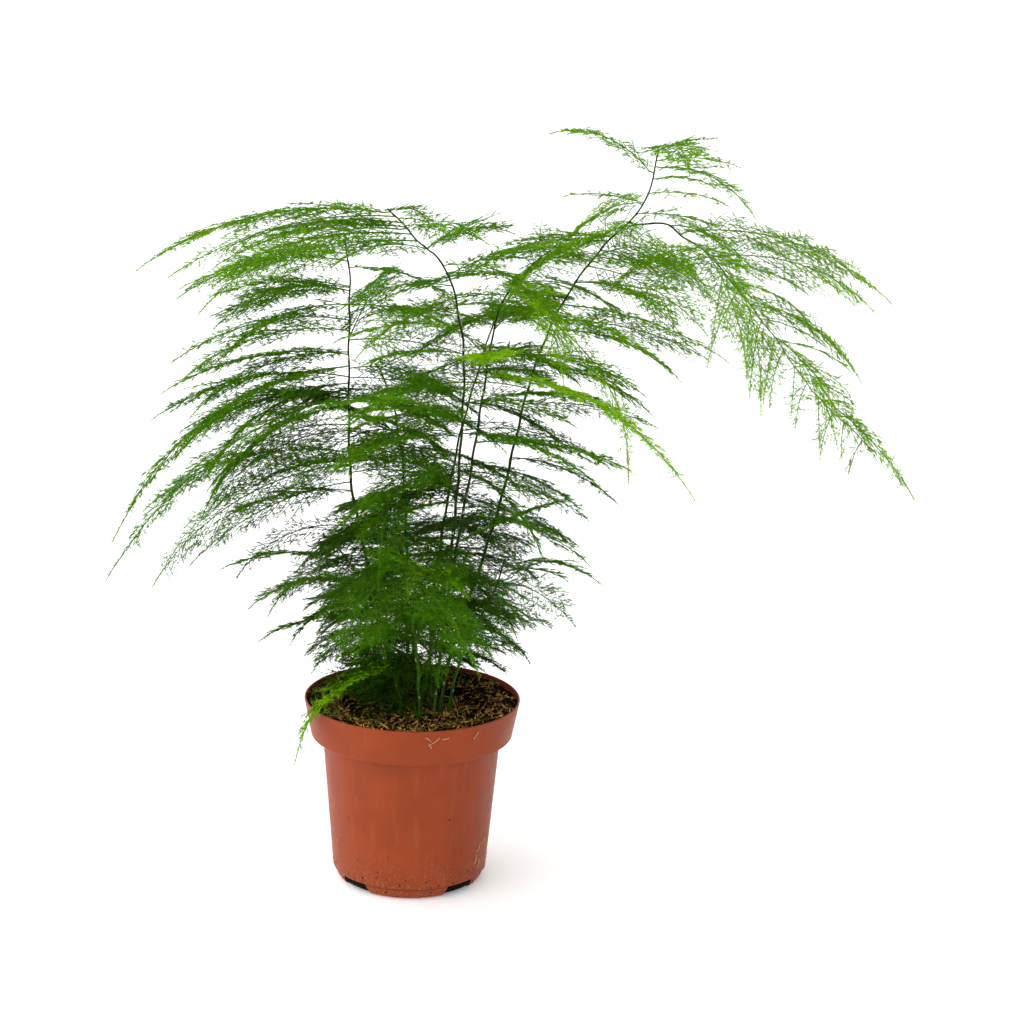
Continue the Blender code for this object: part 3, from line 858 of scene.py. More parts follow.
def fibre_mesh(name, rng, length, radius):
    """A short, slightly bent strand, thin at both ends."""
    bend = rng.uniform(-1.1, 1.1)
    twist = rng.uniform(-0.6, 0.6)
    steps = 3
    heading = rng.uniform(0, 2 * math.pi)
    lift = rng.uniform(-0.15, 0.35)
    here = Vector((-length / 2 * math.cos(heading), -length / 2 * math.sin(heading), radius))
    points = [here.copy()]
    for step in range(steps):
        heading += bend / steps
        lift += twist * math.cos(math.pi * step / steps) / steps
        here += facing(heading, lift) * length / steps
        points.append(here.copy())
    radii = [radius * (0.35 + 0.65 * math.sin(math.pi * (0.1 + 0.8 * step / steps)))
             for step in range(steps + 1)]
    strand = Growth()
    strand.tube(points, radii, 3)
    return strand.mesh(name)


def crumb_mesh(name, rng, width):
    """An angular crumb of bark or peat."""
    shape = bmesh.new()
    bmesh.ops.create_icosphere(shape, subdivisions=1, radius=width / 2)
    stretch = Vector((rng.uniform(0.7, 1.5), rng.uniform(0.6, 1.0), rng.uniform(0.45, 0.9)))
    for vertex in shape.verts:
        vertex.co = vertex.co * rng.uniform(0.75, 1.2) * stretch
    return mesh_from(shape, name)


def spike(growth, foot, ahead, length, width):
    """One needle of four faces: pointed at both ends and widest a third of the way up."""
    across = ahead.orthogonal().normalized()
    up = ahead.cross(across)
    belly = foot + ahead * length * 0.36 + up * width * 0.3
    tip = foot + ahead * length
    first = len(growth.verts)
    growth.verts += [foot, tip, belly + across * width / 2, belly - across * width / 2]
    growth.strip += [(0.0, 0.01), (0.0, 0.99), (1.0, 0.36), (-1.0, 0.36)]
    growth.faces += [(first, first + 2, first + 1), (first, first + 1, first + 3),
                     (first + 1, first + 2, first + 3), (first, first + 3, first + 2)]


def needle_pair(growth, foot, first_tip, second_tip, width):
    """Two needles that share a foot: three corners round the foot and a tip on either side."""
    along = (second_tip - first_tip).normalized()
    across = along.orthogonal().normalized()
    up = along.cross(across)
    first = len(growth.verts)
    for corner, shade in enumerate((-1.0, 0.0, 1.0)):
        angle = 2 * math.pi * corner / 3
        growth.verts.append(foot + (across * math.cos(angle) + up * math.sin(angle)) * width * 0.6)
        growth.strip.append((shade, 0.12))
    growth.verts += [first_tip, second_tip]
    growth.strip += [(0.5, 0.99), (-0.5, 0.99)]
    for corner in range(3):
        after = (corner + 1) % 3
        growth.faces += [(first + after, first + corner, first + 3),
                         (first + corner, first + after, first + 4)]


def moss_mesh(name, rng, height):
    """A tuft of short upright blades that lean outwards."""
    tuft = Growth()
    for _ in range(7):
        lean = rng.uniform(0.1, 0.9)
        turn = rng.uniform(0, 2 * math.pi)
        ahead = Vector((math.sin(lean) * math.cos(turn), math.sin(lean) * math.sin(turn),
                        math.cos(lean)))
        spike(tuft, Vector(), ahead, height * rng.uniform(0.6, 1.1), height * 0.13)
    return tuft.mesh(name)


def keep_inside(mesh, rim_inside):
    """Draws in whatever would poke through the pot's wall just under the rim."""
    for vertex in mesh.vertices:
        offset = vertex.co - POT_AXIS
        limit = rim_inside - 0.22 * max(POT_HEIGHT - offset.z, 0.0)
        if offset.z < POT_HEIGHT and offset.xy.length > limit:
            offset.xy *= limit / offset.xy.length
            vertex.co = POT_AXIS + offset


class FERN_OT_soil(bpy.types.Operator):
    """Builds the soil bed and strews coir, bark crumbs, white grains and moss over it"""

    bl_idname = "fern.soil"
    bl_label = "Soil"

    def execute(self, context):
        settings = context.scene.fern_soil
        bed, surface = self.add_bed(context.scene.fern_pot, settings)
        finish_piece(bed, ["potting_soil"])
        tree = scattering_tree()
        rng = random.Random(SOIL_SEED)
        area = math.pi * RIM_RADIUS ** 2
        fibres = [fibre_mesh(f"fibre_{n}", rng, settings.fibre_length * rng.uniform(0.5, 1.5),
                             FIBRE_RADIUS) for n in range(12)]
        crumbs = [crumb_mesh(f"crumb_{n}", rng, CRUMB_WIDTH) for n in range(8)]
        grains = [crumb_mesh(f"grain_{n}", rng, GRAIN_WIDTH) for n in range(3)]
        tufts = [moss_mesh(f"moss_{n}", rng, MOSS_HEIGHT) for n in range(6)]
        coir = plant_litter("coir_fibre", settings.fibre, 0.80, 0.7)
        bark = plant_litter("bark_crumbs", settings.bark, 0.7, 0.9)
        white = plant_litter("white_grains", settings.grain, 0.1, 0.8)
        moss = plant_litter("moss", settings.moss, 0.5, 0.6)
        rows = [("soil_fibres", fibres, settings.fibre_count, 0.6, 1.3, 0.35, coir),
                ("soil_crumbs", crumbs, settings.crumb_count, 0.4, 1.3, 3.0, bark),
                ("soil_grains", grains, settings.grain_count, 0.5, 1.2, 3.0, white),
                ("soil_moss", tufts, settings.moss_count, 0.5, 1.2, 0.5, moss)]
        for seed, (name, meshes, count, least, most, tilt, made_of) in enumerate(rows, 1):
            shapes = shape_collection(name + "_shapes", meshes)
            piece = add_piece(name, surface.copy())
            mossy = made_of is moss
            grown(piece, tree, {"Shapes": shapes, "Where": "moss" if mossy else "litter",
                                "Density": count / area, "Smallest": least, "Largest": most,
                                "Tilt": tilt, "Seed": seed, "Material": made_of})
            drop_collection(shapes)
            keep_inside(piece.data, RIM_RADIUS - context.scene.fern_pot.wall)
            finish_piece(piece)
        bpy.data.meshes.remove(surface)
        return {"FINISHED"}

    def add_bed(self, pot, settings):
        """The bed piece, and a copy of its mesh that says where litter and moss belong."""
        inside = inner_wall(pot, pot.wall + SOIL_GAP)
        slope = (RIM_RADIUS - pot.band_foot_radius) / pot.band_height
        band_foot = POT_HEIGHT - pot.band_height

        def wall_radius(height):
            return pot.band_foot_radius - pot.wall - SOIL_GAP + slope * (height - band_foot)

        edge = wall_radius(SOIL_TOP)
        top = [(edge * ring / SOIL_RINGS, SOIL_TOP) for ring in range(SOIL_RINGS + 1)]
        mesh = lathe("soil_bed", top + inside[::-1], SOIL_SEGMENTS)
        litter = mesh.attributes.new("litter", "FLOAT", "POINT")
        moss = mesh.attributes.new("moss", "FLOAT", "POINT")
        for vertex in mesh.vertices:
            x, y, z = vertex.co
            if z < SOIL_TOP - 1e-6:
                continue
            height = soil_height(settings, x, y, edge)
            radius = math.hypot(x, y)
            widen = (wall_radius(SOIL_TOP + height) - edge) * (radius / edge) ** 8
            widen /= max(radius, SOIL_GAP)
            vertex.co = (x * (1 + widen), y * (1 + widen), z + height)
            inland = 1.0 if radius < 0.985 * edge else 0.0
            mossy = moss.data[vertex.index]
            mossy.value = moss_share(x, y, edge) * inland
            clumps = 0.3 + 0.9 * smoothstep(-0.3, 0.2, noise.noise(Vector((x, y, 0.7)) / 0.0065))
            litter.data[vertex.index].value = (1.0 - 0.6 * mossy.value) * inland * clumps
        mesh.transform(Matrix.Translation(POT_AXIS))
        surface = mesh.copy()
        bed = add_piece("soil_bed", mesh, damp_peat(settings))
        smooth_shaded(mesh)
        return bed, surface


# Scraps on the pot ----------------------------------------------------------------------------

# Scraps that cling to the outside: heading around the pot in degrees, height, length, lean of the
# strand in degrees and its curl.
CLINGING_FIBRES = [
    (-76, 0.0985, 0.0075, 38, 0.2), (-79, 0.1005, 0.0050, 140, 0.4), (-78, 0.0965, 0.0040, 120, 0.2),
    (-52, 0.0990, 0.0050, 62, 0.3), (-31, 0.0190, 0.0080, 100, 1.4), (-29, 0.0240, 0.0060, 60, 1.2),
    (-24, 0.0265, 0.0070, 20, 0.9), (-27, 0.0150, 0.0060, 95, 0.5), (-150, 0.0270, 0.0040, 30, 0.5),
    (-70, 0.1000, 0.0040, 15, 0.3), (70, 0.0960, 0.0060, 40, 0.5), (120, 0.0200, 0.0070, 80, 0.9),
]
CLINGING_SPECKS = 150
SPECK_SEED = 11
STRAND_RADIUS = 0.00022
# No speck hangs lower than this in a gap between the feet.
NOTCH_REACH = 0.008


def wall_point(pot, heading, height):
    """A point on the pot's outside and the way straight out from it."""
    band_foot = POT_HEIGHT - pot.band_height
    if height > band_foot:
        climb = (height - band_foot) / pot.band_height
        radius = pot.band_foot_radius + (RIM_RADIUS - pot.band_foot_radius) * climb
    elif height > pot.corner_height:
        climb = (height - pot.corner_height) / (band_foot - pot.corner_height)
        radius = pot.body_foot_radius + (pot.body_top_radius - pot.body_foot_radius) * climb
    else:
        drop = 1.0 - height / pot.corner_height
        swell = math.sqrt(max(1.0 - drop ** 2, 0.0))
        radius = pot.base_radius + (pot.body_foot_radius - pot.base_radius) * swell
        if height < pot.ledge_height:
            radius -= pot.ledge_depth
    outwards = Vector((math.cos(heading), math.sin(heading), 0.0))
    return POT_AXIS + outwards * radius + Vector((0.0, 0.0, height)), outwards


class FERN_OT_scraps(bpy.types.Operator):
    """Sticks loose fibres and specks of soil to the outside of the pot"""

    bl_idname = "fern.scraps"
    bl_label = "Scraps on the pot"

    def execute(self, context):
        pot = context.scene.fern_pot
        straw = plant_litter("dry_straw", pot.straw, 0.2, 0.8)
        bark = bpy.data.materials["bark_crumbs"]
        strands = Growth()
        for heading, height, length, lean, curl in CLINGING_FIBRES:
            self.add_strand(strands, pot, math.radians(heading), height, length, lean, curl)
        fibres = add_piece("pot_fibres", strands.mesh("pot_fibres"), straw)
        finish_piece(fibres)
        specks = add_piece("pot_specks", self.speck_mesh(pot), bark)
        finish_piece(specks)
        return {"FINISHED"}

    def add_strand(self, strands, pot, heading, height, length, lean, curl):
        """A loose fibre that follows the wall and lifts off it at one end."""
        steps = 8
        points = []
        for step in range(steps + 1):
            along = length * (step / steps - 0.5)
            turn = math.radians(lean) + curl * along / length
            place, outwards = wall_point(pot, heading + along * math.cos(turn) / RIM_RADIUS,
                                         height + along * math.sin(turn))
            lift = STRAND_RADIUS + 0.0007 * (step / steps) ** 2
            points.append(place + outwards * lift)
        strands.tube(points, [STRAND_RADIUS * (0.6 + 0.4 * math.sin(math.pi * step / steps))
                              for step in range(steps + 1)], 5)

    def speck_mesh(self, pot):
        """Flat specks of soil on the outside, most of them low down."""
        rng = random.Random(SPECK_SEED)
        whole = bmesh.new()
        for number in range(CLINGING_SPECKS):
            low = number % 5 > 0
            heading = rng.uniform(0, 2 * math.pi)
            height = rng.uniform(0.0005, 0.013) if low else rng.uniform(0.01, 0.10)
            width = rng.uniform(0.0003, 0.0008)
            in_gap = abs((math.degrees(heading) % 90) - 45) < 14 and height < NOTCH_REACH
            if in_gap:
                continue
            place, outwards = wall_point(pot, heading, height)
            turn = outwards.to_track_quat("Z", "X").to_matrix().to_4x4()
            flat = Matrix.Diagonal((width, width * 0.7, width * 0.4, 1))
            where = Matrix.Translation(place) @ turn @ flat
            bmesh.ops.create_icosphere(whole, subdivisions=1, radius=1.0, matrix=where)
        return mesh_from(whole, "pot_specks")


# Stems ----------------------------------------------------------------------------------------

STEM_SEED = 21
STEM_SIDES = 10
STEM_SHARP_DEGREES = 50.0
STEPS_PER_NODE = 4
NODE_SWELL = 1.10
SCALE_WIDTH = 0.0011
# The way to each next node's scale turns by this many radians round the stem.
SCALE_TURN = 2.4


def stem_course(path, settings, rng):
    """A stem's points with a small step aside at every node, and the nodes themselves."""
    spacing = settings.node_spacing / STEPS_PER_NODE
    count = max(int(path.length / spacing), STEPS_PER_NODE)
    points = []
    nodes = []
    swing = rng.uniform(0, 2 * math.pi)
    for index in range(count + 1):
        place, ahead = path.at(path.length * index / count)
        across = ahead.orthogonal().normalized()
        up = ahead.cross(across)
        number, step = divmod(index, STEPS_PER_NODE)
        if step == 0 and 0 < index < count:
            swing += SCALE_TURN
            aside = across * math.cos(swing) + up * math.sin(swing)
            nodes.append((place, ahead, aside))
        sway = settings.zigzag * (1 if number % 2 else -1) * math.sin(math.pi * step / STEPS_PER_NODE)
        points.append(place + across * sway)
    return points, nodes


def scale_mesh(name, length, width):
    """A dry pointed scale that hugs its stem and leans outwards at the tip."""
    made = bpy.data.meshes.new(name)
    thick = width * 0.25
    rows = [(0.0, 0.5 * width, 0.0), (0.45 * length, 0.42 * width, 0.10 * length)]
    verts = []
    for z, half, out in rows:
        verts += [(out, -half, z), (out + thick, 0.0, z), (out, half, z), (out - thick, 0.0, z)]
    verts.append((0.26 * length, 0.0, length))
    faces = [(3, 2, 1, 0)]
    for side in range(4):
        after = (side + 1) % 4
        faces.append((side, after, 4 + after, 4 + side))
        faces.append((4 + side, 4 + after, 8))
    made.from_pydata(verts, [], faces)
    return made


class FERN_OT_stems(bpy.types.Operator):
    """Builds the stems, slightly bent at each node, and the dry scales on them"""

    bl_idname = "fern.stems"
    bl_label = "Stems"

    def execute(self, context):
        settings = context.scene.fern_stem
        bark = green_stem(settings)
        rng = random.Random(STEM_SEED)
        spots = SpotList()
        for name, (path, foot, tip) in read_stems().items():
            points, nodes = stem_course(path, settings, rng)
            radii = []
            for index in range(len(points)):
                climb = index / (len(points) - 1)
                swell = NODE_SWELL if index % STEPS_PER_NODE == 0 else 1.0
                full = settings.limb_thickness if name == "limb" else settings.thickness
                radii.append(full * (foot + (tip - foot) * climb) * swell * (1.0 - 0.25 * climb))
            stem = Growth()
            stem.tube(points, radii, STEM_SIDES)
            mesh = stem.mesh("live_stem_" + name)
            smooth_shaded(mesh, STEM_SHARP_DEGREES)
            piece = add_piece("live_stem_" + name, mesh, bark)
            finish_piece(piece, ["stem_" + name])
            for number, (place, ahead, aside) in enumerate(nodes):
                if place.z > SOIL_TOP:
                    reach = radii[STEPS_PER_NODE * (number + 1)]
                    spots.add(place + aside * reach * 0.8, ahead, aside, rng.uniform(0.7, 1.2), 0.5)
        scale = scale_mesh("scale", settings.scale_length, SCALE_WIDTH)
        shapes = shape_collection("scale_shapes", [scale])
        straw = plant_litter("dry_scales", settings.scale, 0.25, 0.8)
        piece = add_piece("stem_scales", spots.mesh("stem_scales"))
        grown(piece, growing_tree(), {"Shapes": shapes, "Seed": 3, "Material": straw})
        drop_collection(shapes)
        finish_piece(piece)
        return {"FINISHED"}


# Sprays of needles ----------------------------------------------------------------------------

# Places on the colour strip: twigs up to the first, needles between the next two, and the half
# width of one needle's place.
TWIG_TONE_END = 0.12
TONE_START = 0.14
TONE_END = 0.97
STRIP_HALF = 0.004

SPRAY_SEED = 33
TUFT_SHAPES = 8
# Shares of a spray's spine: the bare stalk, and where its branches end and only tufts clothe it.
BARE_STALK = 0.035
TIP_START = 0.93
# Degrees between the spine and a branch at the stalk, and how many of them go towards the tip.
BRANCH_LEAN = 52
BRANCH_CLOSING = 20
TWIG_LEAN = (38, 58)
# Some branches stay short and some outgrow the rest.
BRANCH_REACHES = (0.55, 0.8, 0.95, 1.05, 1.2)
SHORTEST_BRANCH = 0.004
# Radii of the threads that carry the needles; a long branch is thicker at its foot.
SPINE_RADIUS = 0.00048
BRANCH_RADIUS = 0.00015
BRANCH_SWELL = 0.004
BRANCH_TIP = 0.00012
TWIG_RADIUS = 0.00014
TWIG_TIP = 0.00009
THREAD_SIDES = 3
SPINE_SIDES = 5

# How bright a green each stem's sprays are, from 0 in the dense middle, where the dark green is
# painted shade, to 1 on young growth at the top, where the pale green is partly painted light.
STEM_TONES = {
    "tall": 0.62, "limb": 0.72, "bright": 0.66, "arched": 0.50, "upright": 0.28, "inner": 0.04,
    "back": 0.12, "low_left": 0.18, "low_right": 0.20, "low_front": 0.20, "low_back": 0.0,
}
# Fronds that differ from their stem's: tone, which is painted light and shade as in STEM_TONES,
# width as a share of the usual, and how far they lean over to one side in degrees.
FROND_LOOKS = {
    "frond_arched_1": (0.60, 1.0, 14), "frond_arched_2": (0.52, 1.1, -24),
    "frond_arched_6": (0.32, 0.8, -14), "frond_arched_7": (0.34, 1.0, 10),
    "frond_arched_8": (0.28, 0.8, -20), "frond_upright_1": (0.46, 1.0, -12),
    "frond_upright_2": (0.42, 1.0, 16), "frond_upright_3": (0.40, 0.95, 12),
    "frond_upright_4": (0.34, 0.85, 6), "frond_upright_6": (0.20, 0.8, -24),
    "frond_bright_1": (0.96, 0.65, -16), "frond_bright_4": (0.92, 0.85, 30),
    "frond_bright_5": (0.80, 0.9, 10), "frond_tall_1": (0.66, 0.65, 12),
    "frond_tall_2": (0.66, 0.75, -12), "frond_tall_3": (0.66, 1.1, -26),
    "frond_tall_6": (0.68, 1.4, 34), "frond_tall_7": (0.66, 0.9, 4),
    "frond_limb_1": (0.70, 1.0, 22), "frond_limb_2": (0.70, 1.1, 30),
    "frond_limb_3": (0.72, 1.0, 20), "frond_limb_7": (0.74, 1.0, 24),
    "frond_inner_2": (0.22, 0.9, 10), "frond_low_left_1": (0.14, 0.6, 14),
    "frond_low_left_2": (0.18, 0.7, 14), "frond_low_left_3": (0.14, 0.6, 12),
    "frond_low_left_4": (0.80, 1.3, 20), "frond_low_right_1": (0.18, 0.7, -12),
    "frond_low_right_2": (0.16, 0.7, 20),
}

# Which stems' sprays make up one piece, and how many tufts a piece takes before the next begins.
SPRAY_GROUPS = {
    "tall": ["tall"], "limb": ["limb"], "bright": ["bright"], "arched": ["arched"],
    "upright": ["upright"], "middle": ["inner", "back"], "low_left": ["low_left"],
    "low_front": ["low_front", "low_right"], "low_back": ["low_back"],
}
TUFTS_PER_PIECE = 9000


# Rows of lesser sprays that the CAD model leaves out: stem, first and last place on it, how many,
# length at the first and last place, headings in turn (0 right, 90 away), rise, droop, half width
# and tone. The tone is painted light and shade: the dark rows in the middle and at the back stand in
# for the shade there.
SIDE_SPRAYS = [
    ("upright", 0.74, 0.98, 7, 0.105, 0.060, (172, 10, -160, -30), 8, 38, 0.020, 0.42),
    ("upright", 0.54, 0.72, 7, 0.118, 0.092, (-170, 175, -150, 160), 2, 56, 0.028, 0.32),
    ("upright", 0.56, 0.76, 6, 0.066, 0.064, (5, -25, 30), 4, 40, 0.028, 0.34),
    ("upright", 0.66, 0.92, 6, 0.098, 0.082, (176, -172, 168), 6, 44, 0.030, 0.42),
    ("upright", 0.46, 0.56, 4, 0.075, 0.080, (0, 175, 30, -150), 5, 40, 0.020, 0.12),
    ("upright", 0.24, 0.44, 5, 0.050, 0.068, (-165, -90, 170, -40), 12, 66, 0.018, 0.10),
    ("arched", 0.90, 0.99, 5, 0.115, 0.105, (178, -170, 172, -176), 4, 34, 0.017, 0.56),
    ("arched", 0.95, 1.00, 3, 0.050, 0.044, (15, -25, 50), 12, 34, 0.016, 0.54),
    ("arched", 0.72, 0.90, 5, 0.060, 0.050, (-150, 30, 170, -20), 12, 44, 0.018, 0.52),
    ("arched", 0.56, 0.72, 6, 0.075, 0.060, (175, 0, -150, 40), 10, 46, 0.022, 0.42),
    ("arched", 0.44, 0.64, 5, 0.078, 0.072, (178, 162, -172), 6, 44, 0.027, 0.32),
    ("arched", 0.40, 0.56, 5, 0.070, 0.075, (5, 180, -30, -150), 5, 48, 0.022, 0.20),
    ("arched", 0.22, 0.38, 6, 0.052, 0.060, (-80, -140, -30, -110), 15, 60, 0.024, 0.16),
    ("inner", 0.70, 0.98, 6, 0.078, 0.060, (175, 5, -150, -20), 8, 50, 0.024, 0.14),
    ("inner", 0.24, 0.66, 12, 0.050, 0.068, (-120, -20, 160, -70, -150), 14, 62, 0.026, 0.05),
    ("inner", 0.05, 0.24, 8, 0.034, 0.042, (-170, 150, 110, -145), 24, 46, 0.022, 0.0),
    ("inner", 0.04, 0.20, 8, 0.028, 0.036, (-130, -70, -160, -100), 34, 76, 0.020, 0.0),
    ("inner", 0.22, 0.52, 12, 0.050, 0.062, (150, 100, 40, 175, 20), 14, 50, 0.030, 0.0),
    ("back", 0.60, 0.95, 5, 0.070, 0.060, (5, 170, -30, 30), 8, 42, 0.024, 0.18),
    ("back", 0.06, 0.24, 7, 0.034, 0.040, (170, 130, 60, 200, 20), 26, 46, 0.022, 0.02),
    ("back", 0.12, 0.48, 8, 0.044, 0.054, (195, -15, 150, 35), 12, 50, 0.028, 0.0),
    ("back", 0.20, 0.56, 9, 0.050, 0.062, (0, 60, -40, 120, 180), 12, 50, 0.026, 0.04),
    ("bright", 0.78, 0.97, 6, 0.085, 0.060, (175, 0, -160, 30), 10, 40, 0.020, 0.54),
    ("bright", 0.42, 0.56, 4, 0.066, 0.070, (0, 178, 20, -155), 5, 40, 0.022, 0.22),
    ("bright", 0.56, 0.76, 5, 0.078, 0.080, (-6, 172, 24, -150), 6, 42, 0.026, 0.46),
    ("bright", 0.22, 0.36, 4, 0.045, 0.050, (-10, -60, 10, -90), 12, 56, 0.018, 0.18),
    ("tall", 0.52, 0.70, 6, 0.080, 0.080, (0, 175, -25, -160), 8, 40, 0.022, 0.44),
    ("tall", 0.66, 0.86, 6, 0.085, 0.074, (-8, 168, 22, -35), 6, 38, 0.028, 0.58),
    ("tall", 0.34, 0.48, 4, 0.050, 0.060, (-5, 15, 170, -30), 10, 44, 0.016, 0.18),
    ("tall", 0.88, 0.99, 5, 0.050, 0.038, (0, 165, -15, 20), 8, 28, 0.010, 0.70),
    ("limb", 0.04, 0.30, 5, 0.060, 0.052, (-140, 30, -60, 150), 0, 45, 0.018, 0.68),
    ("limb", 0.30, 0.96, 12, 0.046, 0.016, (-95, -120), -38, 38, 0.007, 0.74),
    ("limb", 0.26, 0.94, 10, 0.062, 0.018, (12, 30), -6, 34, 0.008, 0.74),
    ("low_left", 0.50, 0.95, 6, 0.044, 0.050, (-160, -100, 150, -60), 12, 56, 0.022, 0.08),
    ("low_left", 0.20, 0.60, 6, 0.036, 0.044, (170, 110, -150, 60), 14, 56, 0.024, 0.0),
    ("low_right", 0.60, 0.98, 3, 0.036, 0.040, (0, -60, 40, -20), 10, 50, 0.016, 0.18),
    ("low_front", 0.52, 0.95, 8, 0.040, 0.046, (-90, -150, -40, -120), 14, 66, 0.024, 0.14),
    ("low_front", 0.70, 0.96, 4, 0.040, 0.046, (-30, -55, -10, -75), 16, 60, 0.012, 0.52),
    ("low_back", 0.22, 0.95, 13, 0.046, 0.054, (110, 30, 170, 70), 12, 50, 0.028, 0.0),
]


class SpotList:
    """Points for instances, each with its direction, side, size and tone."""

    def __init__(self):
        self.places = []
        self.values = {"along": [], "side": [], "size": [], "tone": []}

    def add(self, place, along, side, size_by, tone):
        self.places.append(place)
        self.values["along"].extend(along)
        self.values["side"].extend(side)
        self.values["size"].append(size_by)
        self.values["tone"].append(TONE_START + (TONE_END - TONE_START) * min(max(tone, 0.0), 1.0))

    def mesh(self, name):
        made = bpy.data.meshes.new(name)
        made.from_pydata(self.places, [], [])
        for key, values in self.values.items():
            vector = key in ("along", "side")
            attribute = made.attributes.new(key, "FLOAT_VECTOR" if vector else "FLOAT", "POINT")
            attribute.data.foreach_set("vector" if vector else "value", values)
        return made


def tuft_mesh(name, rng, settings):
    """Two pairs of needles fanned mostly in one plane: Z runs along the twig and X to its side."""
    tuft = Growth()
    for spread in (19, 44):
        tips = []
        for hand in (-1, 1):
            swing = math.radians(hand * (spread + rng.uniform(-10, 10)))
            lift = math.radians(rng.uniform(-28, 28))
            length = settings.needle_length * rng.uniform(0.75, 1.15)
            tips.append(Vector((math.sin(swing) * math.cos(lift), math.sin(lift),
                                math.cos(swing) * math.cos(lift))) * length)
        foot = Vector((0.0, 0.0, rng.uniform(-0.0005, 0.0005)))
        needle_pair(tuft, foot, foot + tips[0], foot + tips[1], settings.needle_width)
    made = tuft.mesh(name)
    for key, place in (("across", 0), ("reach", 1)):
        attribute = made.attributes.new(key, "FLOAT", "POINT")
        attribute.data.foreach_set("value", [spot[place] for spot in tuft.strip])
    return made


